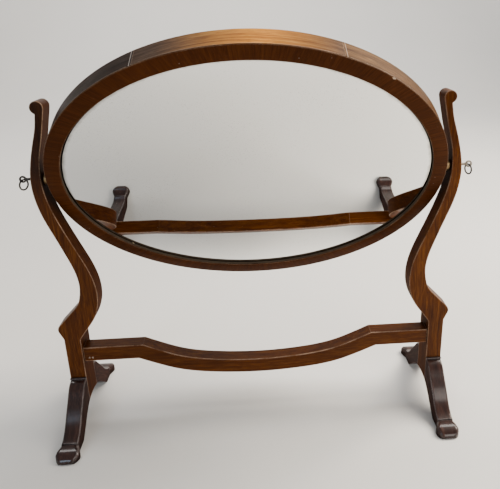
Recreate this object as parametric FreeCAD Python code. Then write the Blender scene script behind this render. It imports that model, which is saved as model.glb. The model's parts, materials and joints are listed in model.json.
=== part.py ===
import FreeCAD, Part
import math
import os
from FreeCAD import Placement, Rotation, Vector

# Oval toilet mirror that tilts between two scroll-topped uprights.
# Millimetres. X runs across the mirror, the front faces -Y, and Z = 0 is the table top.
# The origin lies on the table, under the middle of the whole width and depth.
# Every piece is first drawn with the pivot axis above Y = 0, and moved into place at the end.

# ------------------------------------------------------------------ mirror frame
SIGHT_HALF_WIDTH = 199.3
SIGHT_HALF_HEIGHT = 156.9
FACE_WIDTH_AT_SIDE = 16.0
FACE_WIDTH_AT_TOP = 17.0
FRAME_DEPTH = 24.2
AXIS_FROM_BACK = 7.0
LIP_DEPTH = 4.0
REBATE_WIDTH = 6.0
VENEER = 1.2
GLUE_LINE = 0.1
FACE_ARRIS = 0.6
SIGHT_ARRIS = 0.4
CORE_SEGMENTS = 8
REST_TILT = 29.4

GLASS_THICKNESS = 2.4
GLASS_EDGE_GAP = 0.5

BLOCK_COUNT = 12
BLOCK_LENGTH = 18.0
BLOCK_WIDTH = 5.5
BLOCK_HEIGHT = 8.0

BACKBOARD_THICKNESS = 3.5
BACKBOARD_INSET = 2.4
BACKBOARD_BEVEL = 1.2
BACK_SCREW_COUNT = 10
BACK_SCREW_LENGTH = 14.0
BACK_SCREW_SHANK = 2.6
BACK_SCREW_HEAD = 5.2

# Two butt joints of the rim veneer lie on the upper rim, and one at the bottom.
LEFT_JOINT_ANGLE = 117.5
RIGHT_JOINT_ANGLE = 65.6
BOTTOM_JOINT_ANGLE = 270.0
FULL_TURN = 360.0

# ------------------------------------------------------------------ pivots
PIVOT_HEIGHT = 311.6
PIVOT_GAP = 9.0
PIN_DIAMETER = 5.0
RUNNING_FIT = 0.05
FACE_CLEARANCE = 0.3

PLATE_LENGTH = 30.0
PLATE_WIDTH = 11.0
PLATE_THICKNESS = 2.2
PLATE_SINK = 1.0
BOSS_DIAMETER = 13.5
BOSS_ROUND = 1.4
PLATE_SCREW_SPACING = 21.0
PLATE_SCREW_LENGTH = 7.0
PLATE_SCREW_SHANK = 2.2
PLATE_SCREW_HEAD = 4.4
PIN_ENGAGEMENT = 2.4

SHOULDER_DIAMETER = 7.0
SHOULDER_LENGTH = 1.5
NECK_DIAMETER = 3.5
EYE_REACH = 11.5
EYE_DIAMETER = 7.8
EYE_THICKNESS = 2.0
EYE_HOLE = 4.2
RING_WIRE = 1.8
RING_DIAMETER = 13.0
RING_HANG = 0.55
RING_YAW = {"left": 25.0, "right": 17.0}

# ------------------------------------------------------------------ uprights
UPRIGHT_DEPTH = 20.0
UPRIGHT_AT_PIVOT = 11.5
UPRIGHT_ROUND = 0.9
POST_DEPTH = 30.0
POST_WIDTH = 18.9
POST_INSET = 13.8
COVE_BOTTOM = 112.0
COVE_HEIGHT = 26.0
SCROLL_RADIUS = 7.0
SCROLL_RISE = 78.6
SCROLL_INSET = 18.5
SCROLL_START = 187.0
SCROLL_END = -68.0

# The S-curve above the pivot: (across from the face at the pivot, share of the rise to the scroll).
OUTER_ABOVE = [(-13.6, 0.743), (-9.6, 0.565), (-2.9, 0.247)]
INNER_ABOVE = [(-12.0, 0.858), (-7.9, 0.616), (-2.9, 0.361)]
# Its part below the pivot: (across from the face at the pivot, share of the drop to the cove).
OUTER_BELOW = [(0.0, 0.003), (-1.2, 0.103), (-6.9, 0.218), (-14.6, 0.319), (-24.3, 0.446)]
INNER_BELOW = [(0.0, 0.003), (-2.1, 0.098), (-7.8, 0.201), (-16.8, 0.319), (-25.6, 0.424)]
# The waist, belly and shoulder: (across from the post's face, share of the rise from the cove to the pivot).
OUTER_LOWER = [(-26.2, 0.416), (-26.8, 0.336), (-23.9, 0.264), (-15.5, 0.202)]
INNER_LOWER = [(-22.5, 0.441), (-26.6, 0.351), (-26.6, 0.251), (-18.6, 0.137), (-8.4, 0.066), (0.0, 0.0075)]
KNOB_CORNER = (6.6, 17.2)
KNOB_ROOT = (0.0, 2.5)
KNOB_RADIUS = 8.0
KNOB_ROOT_RADIUS = 2.5
BELLY_FOOT_RADIUS = 4.0
NOTCH_RADIUS = 1.1

# ------------------------------------------------------------------ legs
LEG_TOP = 61.0
LEG_BOTTOM = 27.8
POST_ARCH_RISE = 2.2
LEG_BEAD = 2.2
LEG_BEAD_PROUD = 2.4
LEG_ROUND = 2.2
LEDGE_REACH = 54.4
LEDGE_HEIGHT = 12.7
LEDGE_STEP = 1.3
TOE_REACH = 73.5
TOE_HALF_WIDTH = 13.2
TOE_ROUND = 4.2
SOLE_START = 38.0
# The leg's back from the bead to the ledge, and its arch: (out from the post, height).
LEG_BACK = [(10.0, 55.4), (18.5, 46.3), (26.5, 37.4), (33.5, 29.0), (41.0, 20.6)]
LEG_ARCH = [(30.0, 6.2), (22.0, 13.2), (14.0, 19.6), (7.0, 24.6)]
# The toe's crown below the ledge: (back from the tip, height), and its plan (back from the tip, half width share).
TOE_CROWN = [(13.0, 10.9), (7.0, 9.2), (3.0, 6.8), (0.5, 3.6)]
TOE_NOSE = 1.4
TOE_PLAN = [(20.5, 0.73), (15.5, 0.88), (9.5, 1.0), (4.5, 0.87), (1.2, 0.6)]
TOE_TIP_SHARE = 0.3

DOWEL_DIAMETER = 7.0
LEG_DOWEL_DEPTH = 12.0
LEG_DOWEL_HEIGHTS = (36.0, 48.0)

# ------------------------------------------------------------------ stretcher
STRETCHER_HEIGHT = 18.6
STRETCHER_BOTTOM = 81.4
STRETCHER_DEPTH = 17.7
STRETCHER_SETBACK = 2.8
STRETCHER_DROP = 28.9
STRETCHER_ROUND = 0.8
KINK_TOP = 139.5
KINK_BOTTOM = 146.0
# The sag between the kinks: (share of the half span, share of the drop left).
SAG = [(0.84, 0.34), (0.70, 0.60), (0.35, 0.914)]
STRETCHER_DOWEL = 6.0
STRETCHER_DOWEL_IN_POST = 12.0
STRETCHER_DOWEL_IN_RAIL = 18.0
STRETCHER_DOWEL_EDGE = 4.6

JOINT_PIN_DIAMETER = 1.4
JOINT_PIN_LENGTH = 5.2
JOINT_PIN_HEIGHT = 4.7
JOINT_PIN_INSETS = (6.4, 10.2)
JOINT_PIN_PROUD = 0.2

# ------------------------------------------------------------------ derived places
FRAME_HALF_WIDTH = SIGHT_HALF_WIDTH + FACE_WIDTH_AT_SIDE
FRAME_HALF_HEIGHT = SIGHT_HALF_HEIGHT + FACE_WIDTH_AT_TOP
BACK_LEVEL = -AXIS_FROM_BACK
FACE_LEVEL = BACK_LEVEL + FRAME_DEPTH
CORE_FRONT = FACE_LEVEL - VENEER
GLASS_FRONT = FACE_LEVEL - LIP_DEPTH
GLASS_BACK = GLASS_FRONT - GLASS_THICKNESS
REBATE_HALF_WIDTH = SIGHT_HALF_WIDTH + REBATE_WIDTH
REBATE_HALF_HEIGHT = SIGHT_HALF_HEIGHT + REBATE_WIDTH
CORE_HALF_WIDTH = FRAME_HALF_WIDTH - VENEER - GLUE_LINE
CORE_HALF_HEIGHT = FRAME_HALF_HEIGHT - VENEER - GLUE_LINE
BACKBOARD_BACK = BACK_LEVEL - BACKBOARD_THICKNESS
SCREW_HALF_WIDTH = (CORE_HALF_WIDTH + REBATE_HALF_WIDTH) / 2
SCREW_HALF_HEIGHT = (CORE_HALF_HEIGHT + REBATE_HALF_HEIGHT) / 2

UPRIGHT_INNER = FRAME_HALF_WIDTH + PIVOT_GAP
UPRIGHT_OUTER = UPRIGHT_INNER + UPRIGHT_AT_PIVOT
UPRIGHT_FRONT = -UPRIGHT_DEPTH / 2
UPRIGHT_REAR = UPRIGHT_DEPTH / 2
POST_INNER = UPRIGHT_INNER - POST_INSET
POST_OUTER = POST_INNER + POST_WIDTH
POST_MIDDLE = (POST_INNER + POST_OUTER) / 2
POST_REAR = UPRIGHT_FRONT + POST_DEPTH
FOOT_MIDDLE = (UPRIGHT_FRONT + POST_REAR) / 2
PLATE_FACE = FRAME_HALF_WIDTH - PLATE_SINK
PLATE_BACK = PLATE_FACE - PLATE_THICKNESS
EYE_CENTRE = UPRIGHT_OUTER + EYE_REACH
RAIL_FRONT = UPRIGHT_FRONT + STRETCHER_SETBACK
RAIL_MIDDLE = RAIL_FRONT + STRETCHER_DEPTH / 2
RAIL_TOP = STRETCHER_BOTTOM + STRETCHER_HEIGHT

# How far the tilted frame and the toes reach, and so how far behind the origin the pivot axis lies.
TILT = math.radians(REST_TILT)
FRAME_REACH = (FRAME_HALF_HEIGHT - FACE_ARRIS) * math.sin(TILT) + FACE_LEVEL * math.cos(TILT)
FRAME_TAIL = FRAME_HALF_HEIGHT * math.sin(TILT) + AXIS_FROM_BACK * math.cos(TILT)
FRONT_REACH = max(FRAME_REACH, TOE_REACH - UPRIGHT_FRONT)
REAR_REACH = max(FRAME_TAIL, TOE_REACH + POST_REAR)
PIVOT_PLANE = (FRONT_REACH - REAR_REACH) / 2

ALONG_X = Vector(1, 0, 0)
ALONG_Y = Vector(0, 1, 0)
ALONG_Z = Vector(0, 0, 1)
ORIGIN = Vector(0, 0, 0)


# ------------------------------------------------------------------ general shapes
def line(start, end):
    """Straight edge."""
    return Part.LineSegment(start, end).toShape()


def arc(start, middle, end):
    """Edge on the circle through three points."""
    return Part.Arc(start, middle, end).toShape()


def curve(points, start_direction=None, end_direction=None):
    """Smooth edge through the points, leaving and arriving along the given directions."""
    spline = Part.BSplineCurve()
    if start_direction is not None and end_direction is not None:
        spline.interpolate(Points=points, InitialTangent=start_direction, FinalTangent=end_direction)
    else:
        spline.interpolate(points)
    return spline.toShape()


def prism(edges, direction):
    """Solid swept from a closed loop of edges."""
    return Part.Face(Part.Wire(edges)).extrude(direction)


def mirrored(shape, normal, through=ORIGIN):
    """The shape's reflection in a plane."""
    return shape.mirror(through, normal)


def tube_profile(stations, base, axis):
    """Solid of revolution from (distance along the axis, radius) stations."""
    side = ALONG_Z if abs(axis.dot(ALONG_Z)) < 0.9 else ALONG_X
    first = base + axis * stations[0][0]
    last = base + axis * stations[-1][0]
    rim = [base + axis * along + side * radius for along, radius in stations]
    corners = [first] + rim + [last, first]
    face = Part.Face(Part.makePolygon(corners))
    return face.revolve(base, axis, FULL_TURN)


def oval_wire(half_width, half_height, level):
    """True ellipse at a level of the mirror's own depth axis."""
    centre = Vector(0, 0, level)
    if half_width >= half_height:
        return Part.Wire(Part.Ellipse(centre, half_width, half_height).toShape())
    upright = Part.Wire(Part.Ellipse(centre, half_height, half_width).toShape())
    upright.rotate(centre, ALONG_Z, 90)
    return upright


def oval_solid(half_width, half_height, low, high, high_growth=0.0):
    """Oval slab; its upper oval may be larger or smaller all round than its lower one."""
    lower = oval_wire(half_width, half_height, low)
    if high_growth == 0.0:
        return Part.Face(lower).extrude(Vector(0, 0, high - low))
    upper = oval_wire(half_width + high_growth, half_height + high_growth, high)
    return Part.makeLoft([lower, upper], True, True)


def oval_point(half_width, half_height, angle, level=0.0):
    """Point of an oval at an angle of its own parameter, in degrees."""
    turn = math.radians(angle)
    return Vector(half_width * math.cos(turn), half_height * math.sin(turn), level)


def oval_wedge(start, end):
    """Tall wedge between two radial joint planes, used to saw a ring into strips."""
    reach = 2.0
    steps = 1 + int((end - start) // 60)
    turns = [start + (end - start) * step / steps for step in range(steps + 1)]
    rim = [oval_point(reach * FRAME_HALF_WIDTH, reach * FRAME_HALF_HEIGHT, turn, BACKBOARD_BACK) for turn in turns]
    hub = Vector(0, 0, BACKBOARD_BACK)
    face = Part.Face(Part.makePolygon([hub] + rim + [hub]))
    return face.extrude(Vector(0, 0, FACE_LEVEL - BACKBOARD_BACK))


def at_rest(shape):
    """Move a shape from the mirror's own frame (x across, y up, z out of the glass) to its rest tilt."""
    placed = shape.copy()
    placed.Placement = Placement(Vector(0, 0, PIVOT_HEIGHT), Rotation(ALONG_X, 90 + REST_TILT)) * placed.Placement
    return placed


def countersunk_screw(head, shank, length, tip, direction):
    """Screw body, head flush at its start; the thread is left plain."""
    sink = (head - shank) / 2
    point = shank * 0.7
    stations = [(0, head / 2), (sink, shank / 2), (length - point, shank / 2), (length, shank * 0.1)]
    return tube_profile(stations, tip, direction)


def screw_slot(head, place, direction, across):
    """Cutter for the driver slot of a screw head."""
    width = head * 0.16
    depth = head * 0.14
    side = direction.cross(across)
    corner = place - across * head + side * (width / 2) - direction * depth
    along = across * (2 * head)
    edges = [corner, corner + along, corner + along - side * width, corner - side * width, corner]
    return Part.Face(Part.makePolygon(edges)).extrude(direction * (2 * depth))


# ------------------------------------------------------------------ mirror frame
def back_screw_places():
    """Backboard screw heads, on the middle of the frame's rear edge."""
    step = FULL_TURN / BACK_SCREW_COUNT
    return [oval_point(SCREW_HALF_WIDTH, SCREW_HALF_HEIGHT, step * (index + 0.5), BACKBOARD_BACK)
            for index in range(BACK_SCREW_COUNT)]


def back_screw_bodies():
    """The backboard's screws before their slots are cut."""
    return [countersunk_screw(BACK_SCREW_HEAD, BACK_SCREW_SHANK, BACK_SCREW_LENGTH, place, ALONG_Z)
            for place in back_screw_places()]


def plate_screw_places(side):
    """Pivot plate screw heads, above and below the boss; side is +1 right, -1 left."""
    return [Vector(side * PLATE_FACE, rise * PLATE_SCREW_SPACING / 2, 0) for rise in (1, -1)]


def plate_screw_bodies(side):
    """The pivot plate's screws before their slots are cut."""
    inward = ALONG_X * -side
    return [countersunk_screw(PLATE_SCREW_HEAD, PLATE_SCREW_SHANK, PLATE_SCREW_LENGTH, place, inward)
            for place in plate_screw_places(side)]


def plate_blank(side, inner, outer):
    """Round-ended slab of the pivot plate's outline between two distances from the middle."""
    radius = PLATE_WIDTH / 2
    straight = PLATE_LENGTH / 2 - radius
    x = side * inner
    edges = [line(Vector(x, -straight, radius), Vector(x, straight, radius)),
             arc(Vector(x, straight, radius), Vector(x, straight + radius, 0), Vector(x, straight, -radius)),
             line(Vector(x, straight, -radius), Vector(x, -straight, -radius)),
             arc(Vector(x, -straight, -radius), Vector(x, -straight - radius, 0), Vector(x, -straight, radius))]
    return prism(edges, ALONG_X * (side * (outer - inner)))


def pin_tip():
    """Where a thumb-screw's pin ends inside the frame's side."""
    return PLATE_BACK - PIN_ENGAGEMENT


def frame_cuts():
    """Housings that the pivot plates, their screws, the pins and the backboard screws need."""
    cuts = back_screw_bodies()
    for side in (1, -1):
        cuts.append(plate_blank(side, PLATE_BACK, FRAME_HALF_WIDTH + PIVOT_GAP))
        cuts.append(Part.makeCylinder(BOSS_DIAMETER / 2, PIVOT_GAP, Vector(side * PLATE_FACE, 0, 0), ALONG_X * side))
        cuts.extend(plate_screw_bodies(side))
        socket_radius = PIN_DIAMETER / 2 + FACE_CLEARANCE
        socket = pin_tip() - FACE_CLEARANCE
        cuts.append(Part.makeCylinder(socket_radius, PLATE_FACE - socket, Vector(side * socket, 0, 0), ALONG_X * side))
    return cuts


def frame_core():
    """The eight butt-jointed segments that carry the veneer, rebated behind for the plate."""
    blank = oval_solid(CORE_HALF_WIDTH, CORE_HALF_HEIGHT, BACK_LEVEL, CORE_FRONT)
    rebate = oval_solid(REBATE_HALF_WIDTH, REBATE_HALF_HEIGHT, BACK_LEVEL, GLASS_FRONT)
    sight = oval_solid(SIGHT_HALF_WIDTH, SIGHT_HALF_HEIGHT, BACK_LEVEL, FACE_LEVEL)
    ring = blank.cut([rebate, sight] + frame_cuts())
    step = FULL_TURN / CORE_SEGMENTS
    nodes = {}
    for index in range(CORE_SEGMENTS):
        wedge = oval_wedge(step * (index - 0.5), step * (index + 0.5))
        nodes[f"frame_segment_{index + 1}"] = ring.common(wedge)
    return nodes


def face_veneer():
    """Crossbanded face, its outer and sight edges eased."""
    body = oval_solid(FRAME_HALF_WIDTH, FRAME_HALF_HEIGHT, CORE_FRONT, FACE_LEVEL - FACE_ARRIS)
    crown = oval_solid(FRAME_HALF_WIDTH, FRAME_HALF_HEIGHT, FACE_LEVEL - FACE_ARRIS, FACE_LEVEL, -FACE_ARRIS)
    sight = oval_solid(SIGHT_HALF_WIDTH, SIGHT_HALF_HEIGHT, CORE_FRONT, FACE_LEVEL)
    ease = oval_solid(SIGHT_HALF_WIDTH, SIGHT_HALF_HEIGHT, FACE_LEVEL - SIGHT_ARRIS, FACE_LEVEL, SIGHT_ARRIS)
    return body.fuse(crown).cut([sight, ease]).removeSplitter()


def rim_veneers():
    """Three strips of long-grain veneer round the rim."""
    outer = oval_solid(FRAME_HALF_WIDTH, FRAME_HALF_HEIGHT, BACK_LEVEL, CORE_FRONT)
    inner = oval_solid(CORE_HALF_WIDTH + GLUE_LINE, CORE_HALF_HEIGHT + GLUE_LINE, BACK_LEVEL, CORE_FRONT)
    skin = outer.cut([inner] + frame_cuts())
    strips = {"rim_veneer_upper": (RIGHT_JOINT_ANGLE, LEFT_JOINT_ANGLE),
              "rim_veneer_left": (LEFT_JOINT_ANGLE, BOTTOM_JOINT_ANGLE),
              "rim_veneer_right": (BOTTOM_JOINT_ANGLE, RIGHT_JOINT_ANGLE + FULL_TURN)}
    return {node: skin.common(oval_wedge(start, end)) for node, (start, end) in strips.items()}


def mirror_plate():
    """Silvered plate behind the lip."""
    return oval_solid(REBATE_HALF_WIDTH - GLASS_EDGE_GAP, REBATE_HALF_HEIGHT - GLASS_EDGE_GAP, GLASS_BACK, GLASS_FRONT)


def glazing_blocks():
    """Glued triangular blocks that keep the plate in its rebate."""
    rebate = oval_solid(REBATE_HALF_WIDTH, REBATE_HALF_HEIGHT, BACK_LEVEL, GLASS_BACK)
    blocks = []
    for index in range(BLOCK_COUNT):
        angle = FULL_TURN / BLOCK_COUNT * (index + 0.5)
        foot = oval_point(REBATE_HALF_WIDTH, REBATE_HALF_HEIGHT, angle, GLASS_BACK)
        out = Vector(foot.x / REBATE_HALF_WIDTH ** 2, foot.y / REBATE_HALF_HEIGHT ** 2, 0).normalize()
        along = ALONG_Z.cross(out)
        start = foot - along * (BLOCK_LENGTH / 2) + out * GLASS_EDGE_GAP
        corners = [start, start - out * (BLOCK_WIDTH + GLASS_EDGE_GAP), start - ALONG_Z * BLOCK_HEIGHT, start]
        blank = Part.Face(Part.makePolygon(corners)).extrude(along * BLOCK_LENGTH)
        blocks.append(blank.common(rebate))
    return Part.makeCompound(blocks)


def backboard():
    """Thin oval panel planted on the frame's back, its rear edge bevelled."""
    half_width = FRAME_HALF_WIDTH - BACKBOARD_INSET
    half_height = FRAME_HALF_HEIGHT - BACKBOARD_INSET
    bevel_level = BACKBOARD_BACK + BACKBOARD_BEVEL
    panel = oval_solid(half_width, half_height, bevel_level, BACK_LEVEL)
    bevel = oval_solid(half_width - BACKBOARD_BEVEL, half_height - BACKBOARD_BEVEL,
                       BACKBOARD_BACK, bevel_level, BACKBOARD_BEVEL)
    return panel.fuse(bevel).cut(back_screw_bodies()).removeSplitter()


def back_screws():
    """The backboard's screws."""
    screws = []
    for body, place in zip(back_screw_bodies(), back_screw_places()):
        screws.append(body.cut(screw_slot(BACK_SCREW_HEAD, place, ALONG_Z, ALONG_X)))
    return Part.makeCompound(screws)


def pivot_plate(side):
    """Brass plate let into the rim, with the bored boss that bears on the upright."""
    end = UPRIGHT_INNER - FACE_CLEARANCE
    radius = BOSS_DIAMETER / 2
    stations = [(PLATE_FACE, radius), (end - BOSS_ROUND, radius),
                (end - BOSS_ROUND / 3, radius - BOSS_ROUND / 3), (end, radius - BOSS_ROUND)]
    boss = tube_profile(stations, ORIGIN, ALONG_X * side)
    bore = Part.makeCylinder(PIN_DIAMETER / 2 + RUNNING_FIT, end - PLATE_BACK, Vector(side * PLATE_BACK, 0, 0),
                             ALONG_X * side)
    plate = plate_blank(side, PLATE_BACK, PLATE_FACE)
    return plate.fuse(boss).cut([bore] + plate_screw_bodies(side)).removeSplitter()


def plate_screws():
    """The pivot plates' screws."""
    screws = []
    for side in (1, -1):
        for body, place in zip(plate_screw_bodies(side), plate_screw_places(side)):
            screws.append(body.cut(screw_slot(PLATE_SCREW_HEAD, place, ALONG_X * -side, ALONG_Z)))
    return Part.makeCompound(screws)


# ------------------------------------------------------------------ thumb-screws and rings
def thumb_screw(side):
    """Pin, shoulder and neck in one turning, with a flat eye across its end."""
    outward = ALONG_X * side
    axis_point = Vector(0, 0, PIVOT_HEIGHT)
    pin = PIN_DIAMETER / 2
    shoulder = SHOULDER_DIAMETER / 2
    neck = NECK_DIAMETER / 2
    seat = UPRIGHT_OUTER + FACE_CLEARANCE
    neck_start = seat + SHOULDER_LENGTH
    eye_edge = EYE_CENTRE - EYE_DIAMETER / 2
    rim = (EYE_DIAMETER - EYE_HOLE) / 2
    stations = [(pin_tip(), pin * 0.7), (pin_tip() + pin * 0.3, pin), (seat, pin), (seat, shoulder * 0.9),
                (seat + shoulder * 0.1, shoulder), (neck_start - shoulder * 0.15, shoulder),
                (neck_start, shoulder * 0.8), (neck_start, neck * 1.15), (neck_start + neck * 0.6, neck * 0.85),
                (eye_edge - neck * 0.5, neck * 0.85), (eye_edge + rim * 0.35, neck),
                (eye_edge + rim * 0.85, EYE_THICKNESS * 0.4)]
    shank = tube_profile(stations, axis_point, outward)
    centre = axis_point + outward * EYE_CENTRE
    near_face = centre - ALONG_Y * (EYE_THICKNESS / 2)
    eye = Part.makeCylinder(EYE_DIAMETER / 2, EYE_THICKNESS, near_face, ALONG_Y)
    eye = eye.makeFillet(EYE_THICKNESS * 0.25, [edge for edge in eye.Edges if edge.isClosed()])
    hole = Part.makeCylinder(EYE_HOLE / 2, 2 * EYE_THICKNESS + NECK_DIAMETER,
                             centre - ALONG_Y * (EYE_THICKNESS + NECK_DIAMETER / 2), ALONG_Y)
    return shank.fuse(eye).cut(hole).removeSplitter()


def drop_ring(side, name):
    """Wire ring that hangs through the eye, turned a little outwards."""
    sweep = (RING_DIAMETER - RING_WIRE) / 2
    centre = Vector(side * EYE_CENTRE, 0, PIVOT_HEIGHT - RING_HANG - sweep)
    turn = math.radians(RING_YAW[name])
    normal = Vector(side * math.cos(turn), math.sin(turn), 0)
    return Part.makeTorus(sweep, RING_WIRE / 2, centre, normal)


# ------------------------------------------------------------------ uprights
def upright_outline():
    """Closed front outline of the right upright, post included, in the plane of its front face."""
    def place(face, start, end, points):
        return [Vector(face + across, UPRIGHT_FRONT, start + (end - start) * share) for across, share in points]

    crest = PIVOT_HEIGHT + SCROLL_RISE
    scroll = Vector(UPRIGHT_OUTER - SCROLL_INSET, UPRIGHT_FRONT, crest)

    def on_scroll(angle):
        turn = math.radians(angle)
        return scroll + Vector(math.cos(turn), 0, math.sin(turn)) * SCROLL_RADIUS

    def scroll_direction(angle):
        turn = math.radians(angle)
        return Vector(math.sin(turn), 0, -math.cos(turn))

    outer = [on_scroll(SCROLL_END)]
    outer += place(UPRIGHT_OUTER, PIVOT_HEIGHT, crest, OUTER_ABOVE)
    outer += place(UPRIGHT_OUTER, PIVOT_HEIGHT, COVE_BOTTOM, OUTER_BELOW)
    outer += place(POST_OUTER, COVE_BOTTOM, PIVOT_HEIGHT, OUTER_LOWER)
    corner = Vector(POST_OUTER + KNOB_CORNER[0], UPRIGHT_FRONT, COVE_BOTTOM + KNOB_CORNER[1])
    root = Vector(POST_OUTER + KNOB_ROOT[0], UPRIGHT_FRONT, COVE_BOTTOM + KNOB_ROOT[1])
    inner = [on_scroll(SCROLL_START)]
    inner += place(UPRIGHT_INNER, PIVOT_HEIGHT, crest, INNER_ABOVE)
    inner += place(UPRIGHT_INNER, PIVOT_HEIGHT, COVE_BOTTOM, INNER_BELOW)
    inner += place(POST_INNER, COVE_BOTTOM, PIVOT_HEIGHT, INNER_LOWER)
    foot_outer = Vector(POST_OUTER, UPRIGHT_FRONT, LEG_BOTTOM)
    foot_inner = Vector(POST_INNER, UPRIGHT_FRONT, LEG_BOTTOM)
    return [arc(inner[0], on_scroll((SCROLL_START + SCROLL_END) / 2), outer[0]),
            curve(outer, outer[1] - outer[0], corner - outer[-1]),
            line(outer[-1], corner),
            line(corner, root),
            line(root, foot_outer),
            line(foot_outer, foot_inner),
            line(foot_inner, inner[-1]),
            curve(list(reversed(inner)), inner[-2] - inner[-1], scroll_direction(SCROLL_START))]


def upright():
    """Right upright: sawn from one board, thinned behind above a cove, arched underneath."""
    outline = upright_outline()
    board = prism(outline, Vector(0, POST_DEPTH, 0))
    corners = {NOTCH_RADIUS: start_of(outline[1]), KNOB_RADIUS: start_of(outline[3]),
               KNOB_ROOT_RADIUS: start_of(outline[4]), BELLY_FOOT_RADIUS: start_of(outline[7])}
    for radius, corner in corners.items():
        board = board.makeFillet(radius, [edge for edge in board.Edges if crosses_at(edge, corner)])
    board = board.makeFillet(UPRIGHT_ROUND, [edge for edge in board.Edges if on_level(edge, UPRIGHT_FRONT)])
    left = POST_INNER - POST_WIDTH * 2
    width = POST_WIDTH * 5
    crest = PIVOT_HEIGHT + SCROLL_RISE + SCROLL_RADIUS * 2
    cove_top = COVE_BOTTOM + COVE_HEIGHT
    step = POST_REAR - UPRIGHT_REAR
    bottom = Vector(left, POST_REAR, COVE_BOTTOM)
    top = Vector(left, UPRIGHT_REAR, cove_top)
    belly = Vector(left, UPRIGHT_REAR + step * 0.32, COVE_BOTTOM + COVE_HEIGHT * 0.36)
    away = Vector(left, POST_REAR + step, COVE_BOTTOM)
    thinning = prism([arc(bottom, belly, top),
                      line(top, Vector(left, UPRIGHT_REAR, crest)),
                      line(Vector(left, UPRIGHT_REAR, crest), Vector(left, POST_REAR + step, crest)),
                      line(Vector(left, POST_REAR + step, crest), away),
                      line(away, bottom)], Vector(width, 0, 0))
    arch_front = Vector(left, UPRIGHT_FRONT, LEG_BOTTOM)
    arch_rear = Vector(left, POST_REAR, LEG_BOTTOM)
    arch_crown = Vector(left, FOOT_MIDDLE, LEG_BOTTOM + POST_ARCH_RISE)
    arch = prism([arc(arch_front, arch_crown, arch_rear), line(arch_rear, arch_front)], Vector(width, 0, 0))
    shaped = board.cut([thinning, arch])
    shaped = shaped.makeFillet(UPRIGHT_ROUND, [edge for edge in shaped.Edges if on_level(edge, UPRIGHT_REAR)])
    bore = Part.makeCylinder(PIN_DIAMETER / 2 + RUNNING_FIT, width, Vector(left, 0, PIVOT_HEIGHT), ALONG_X)
    return shaped.cut([bore] + leg_dowel_cylinders() + stretcher_dowel_cylinders())


def start_of(edge):
    """First point of an edge."""
    return edge.valueAt(edge.FirstParameter)


def crosses_at(edge, corner):
    """True for the edge that runs from front to back through a corner of the outline."""
    box = edge.BoundBox
    straight = box.XLength < 0.001 and box.ZLength < 0.001
    return straight and abs(box.XMin - corner.x) < 0.001 and abs(box.ZMin - corner.z) < 0.001


def on_level(edge, level):
    """True for an upright's long edges that lie at one depth, its straight foot left out."""
    box = edge.BoundBox
    flat = abs(box.YMin - level) < 0.001 and abs(box.YMax - level) < 0.001
    return flat and box.ZMax > LEG_TOP and box.ZLength > UPRIGHT_ROUND


# ------------------------------------------------------------------ legs
def leg_dowel_cylinders():
    """Dowels between the right post and its two legs."""
    dowels = []
    for face in (UPRIGHT_FRONT, POST_REAR):
        for height in LEG_DOWEL_HEIGHTS:
            start = Vector(POST_MIDDLE, face - LEG_DOWEL_DEPTH, height)
            dowels.append(Part.makeCylinder(DOWEL_DIAMETER / 2, 2 * LEG_DOWEL_DEPTH, start, ALONG_Y))
    return dowels


def front_leg():
    """Right front leg: bead at the post, concave back, arch, and a slipper toe below a ledge."""
    def place(x, reach, height):
        return Vector(x, UPRIGHT_FRONT - reach, height)

    def side(reach, height):
        return place(POST_INNER, reach, height)

    back = [side(0, LEG_TOP - LEG_BEAD)] + [side(*point) for point in LEG_BACK]
    back += [side(LEDGE_REACH, LEDGE_HEIGHT)]
    arch = [side(SOLE_START, 0)] + [side(*point) for point in LEG_ARCH] + [side(0, LEG_BOTTOM)]
    across = Vector(POST_WIDTH, 0, 0)
    board = prism([curve(back),
                   line(back[-1], side(LEDGE_REACH, 0)),
                   line(side(LEDGE_REACH, 0), arch[0]),
                   curve(arch),
                   line(arch[-1], back[0])], across)
    board = board.makeFillet(LEG_ROUND, [edge for edge in board.Edges if on_leg_back(edge)])
    bead_bottom = side(0, LEG_TOP - LEG_BEAD * 1.3)
    bead_top = side(LEG_BEAD_PROUD * 0.4, LEG_TOP)
    bead_nose = side(LEG_BEAD_PROUD, LEG_TOP - LEG_BEAD * 0.45)
    bead_under = side(LEG_BEAD_PROUD * 0.6, LEG_TOP - LEG_BEAD)
    bead = prism([line(side(0, LEG_TOP), bead_top),
                  arc(bead_top, bead_nose, bead_under),
                  line(bead_under, bead_bottom),
                  line(bead_bottom, side(0, LEG_TOP))], across)
    return board.fuse([bead, toe()]).removeSplitter().cut(leg_dowel_cylinders())


def on_leg_back(edge):
    """True for the two long edges of the leg's back."""
    box = edge.BoundBox
    flat = box.XLength < 0.001
    return flat and box.YLength > LEDGE_REACH * 0.9 and box.ZMin > LEDGE_HEIGHT / 2


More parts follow.
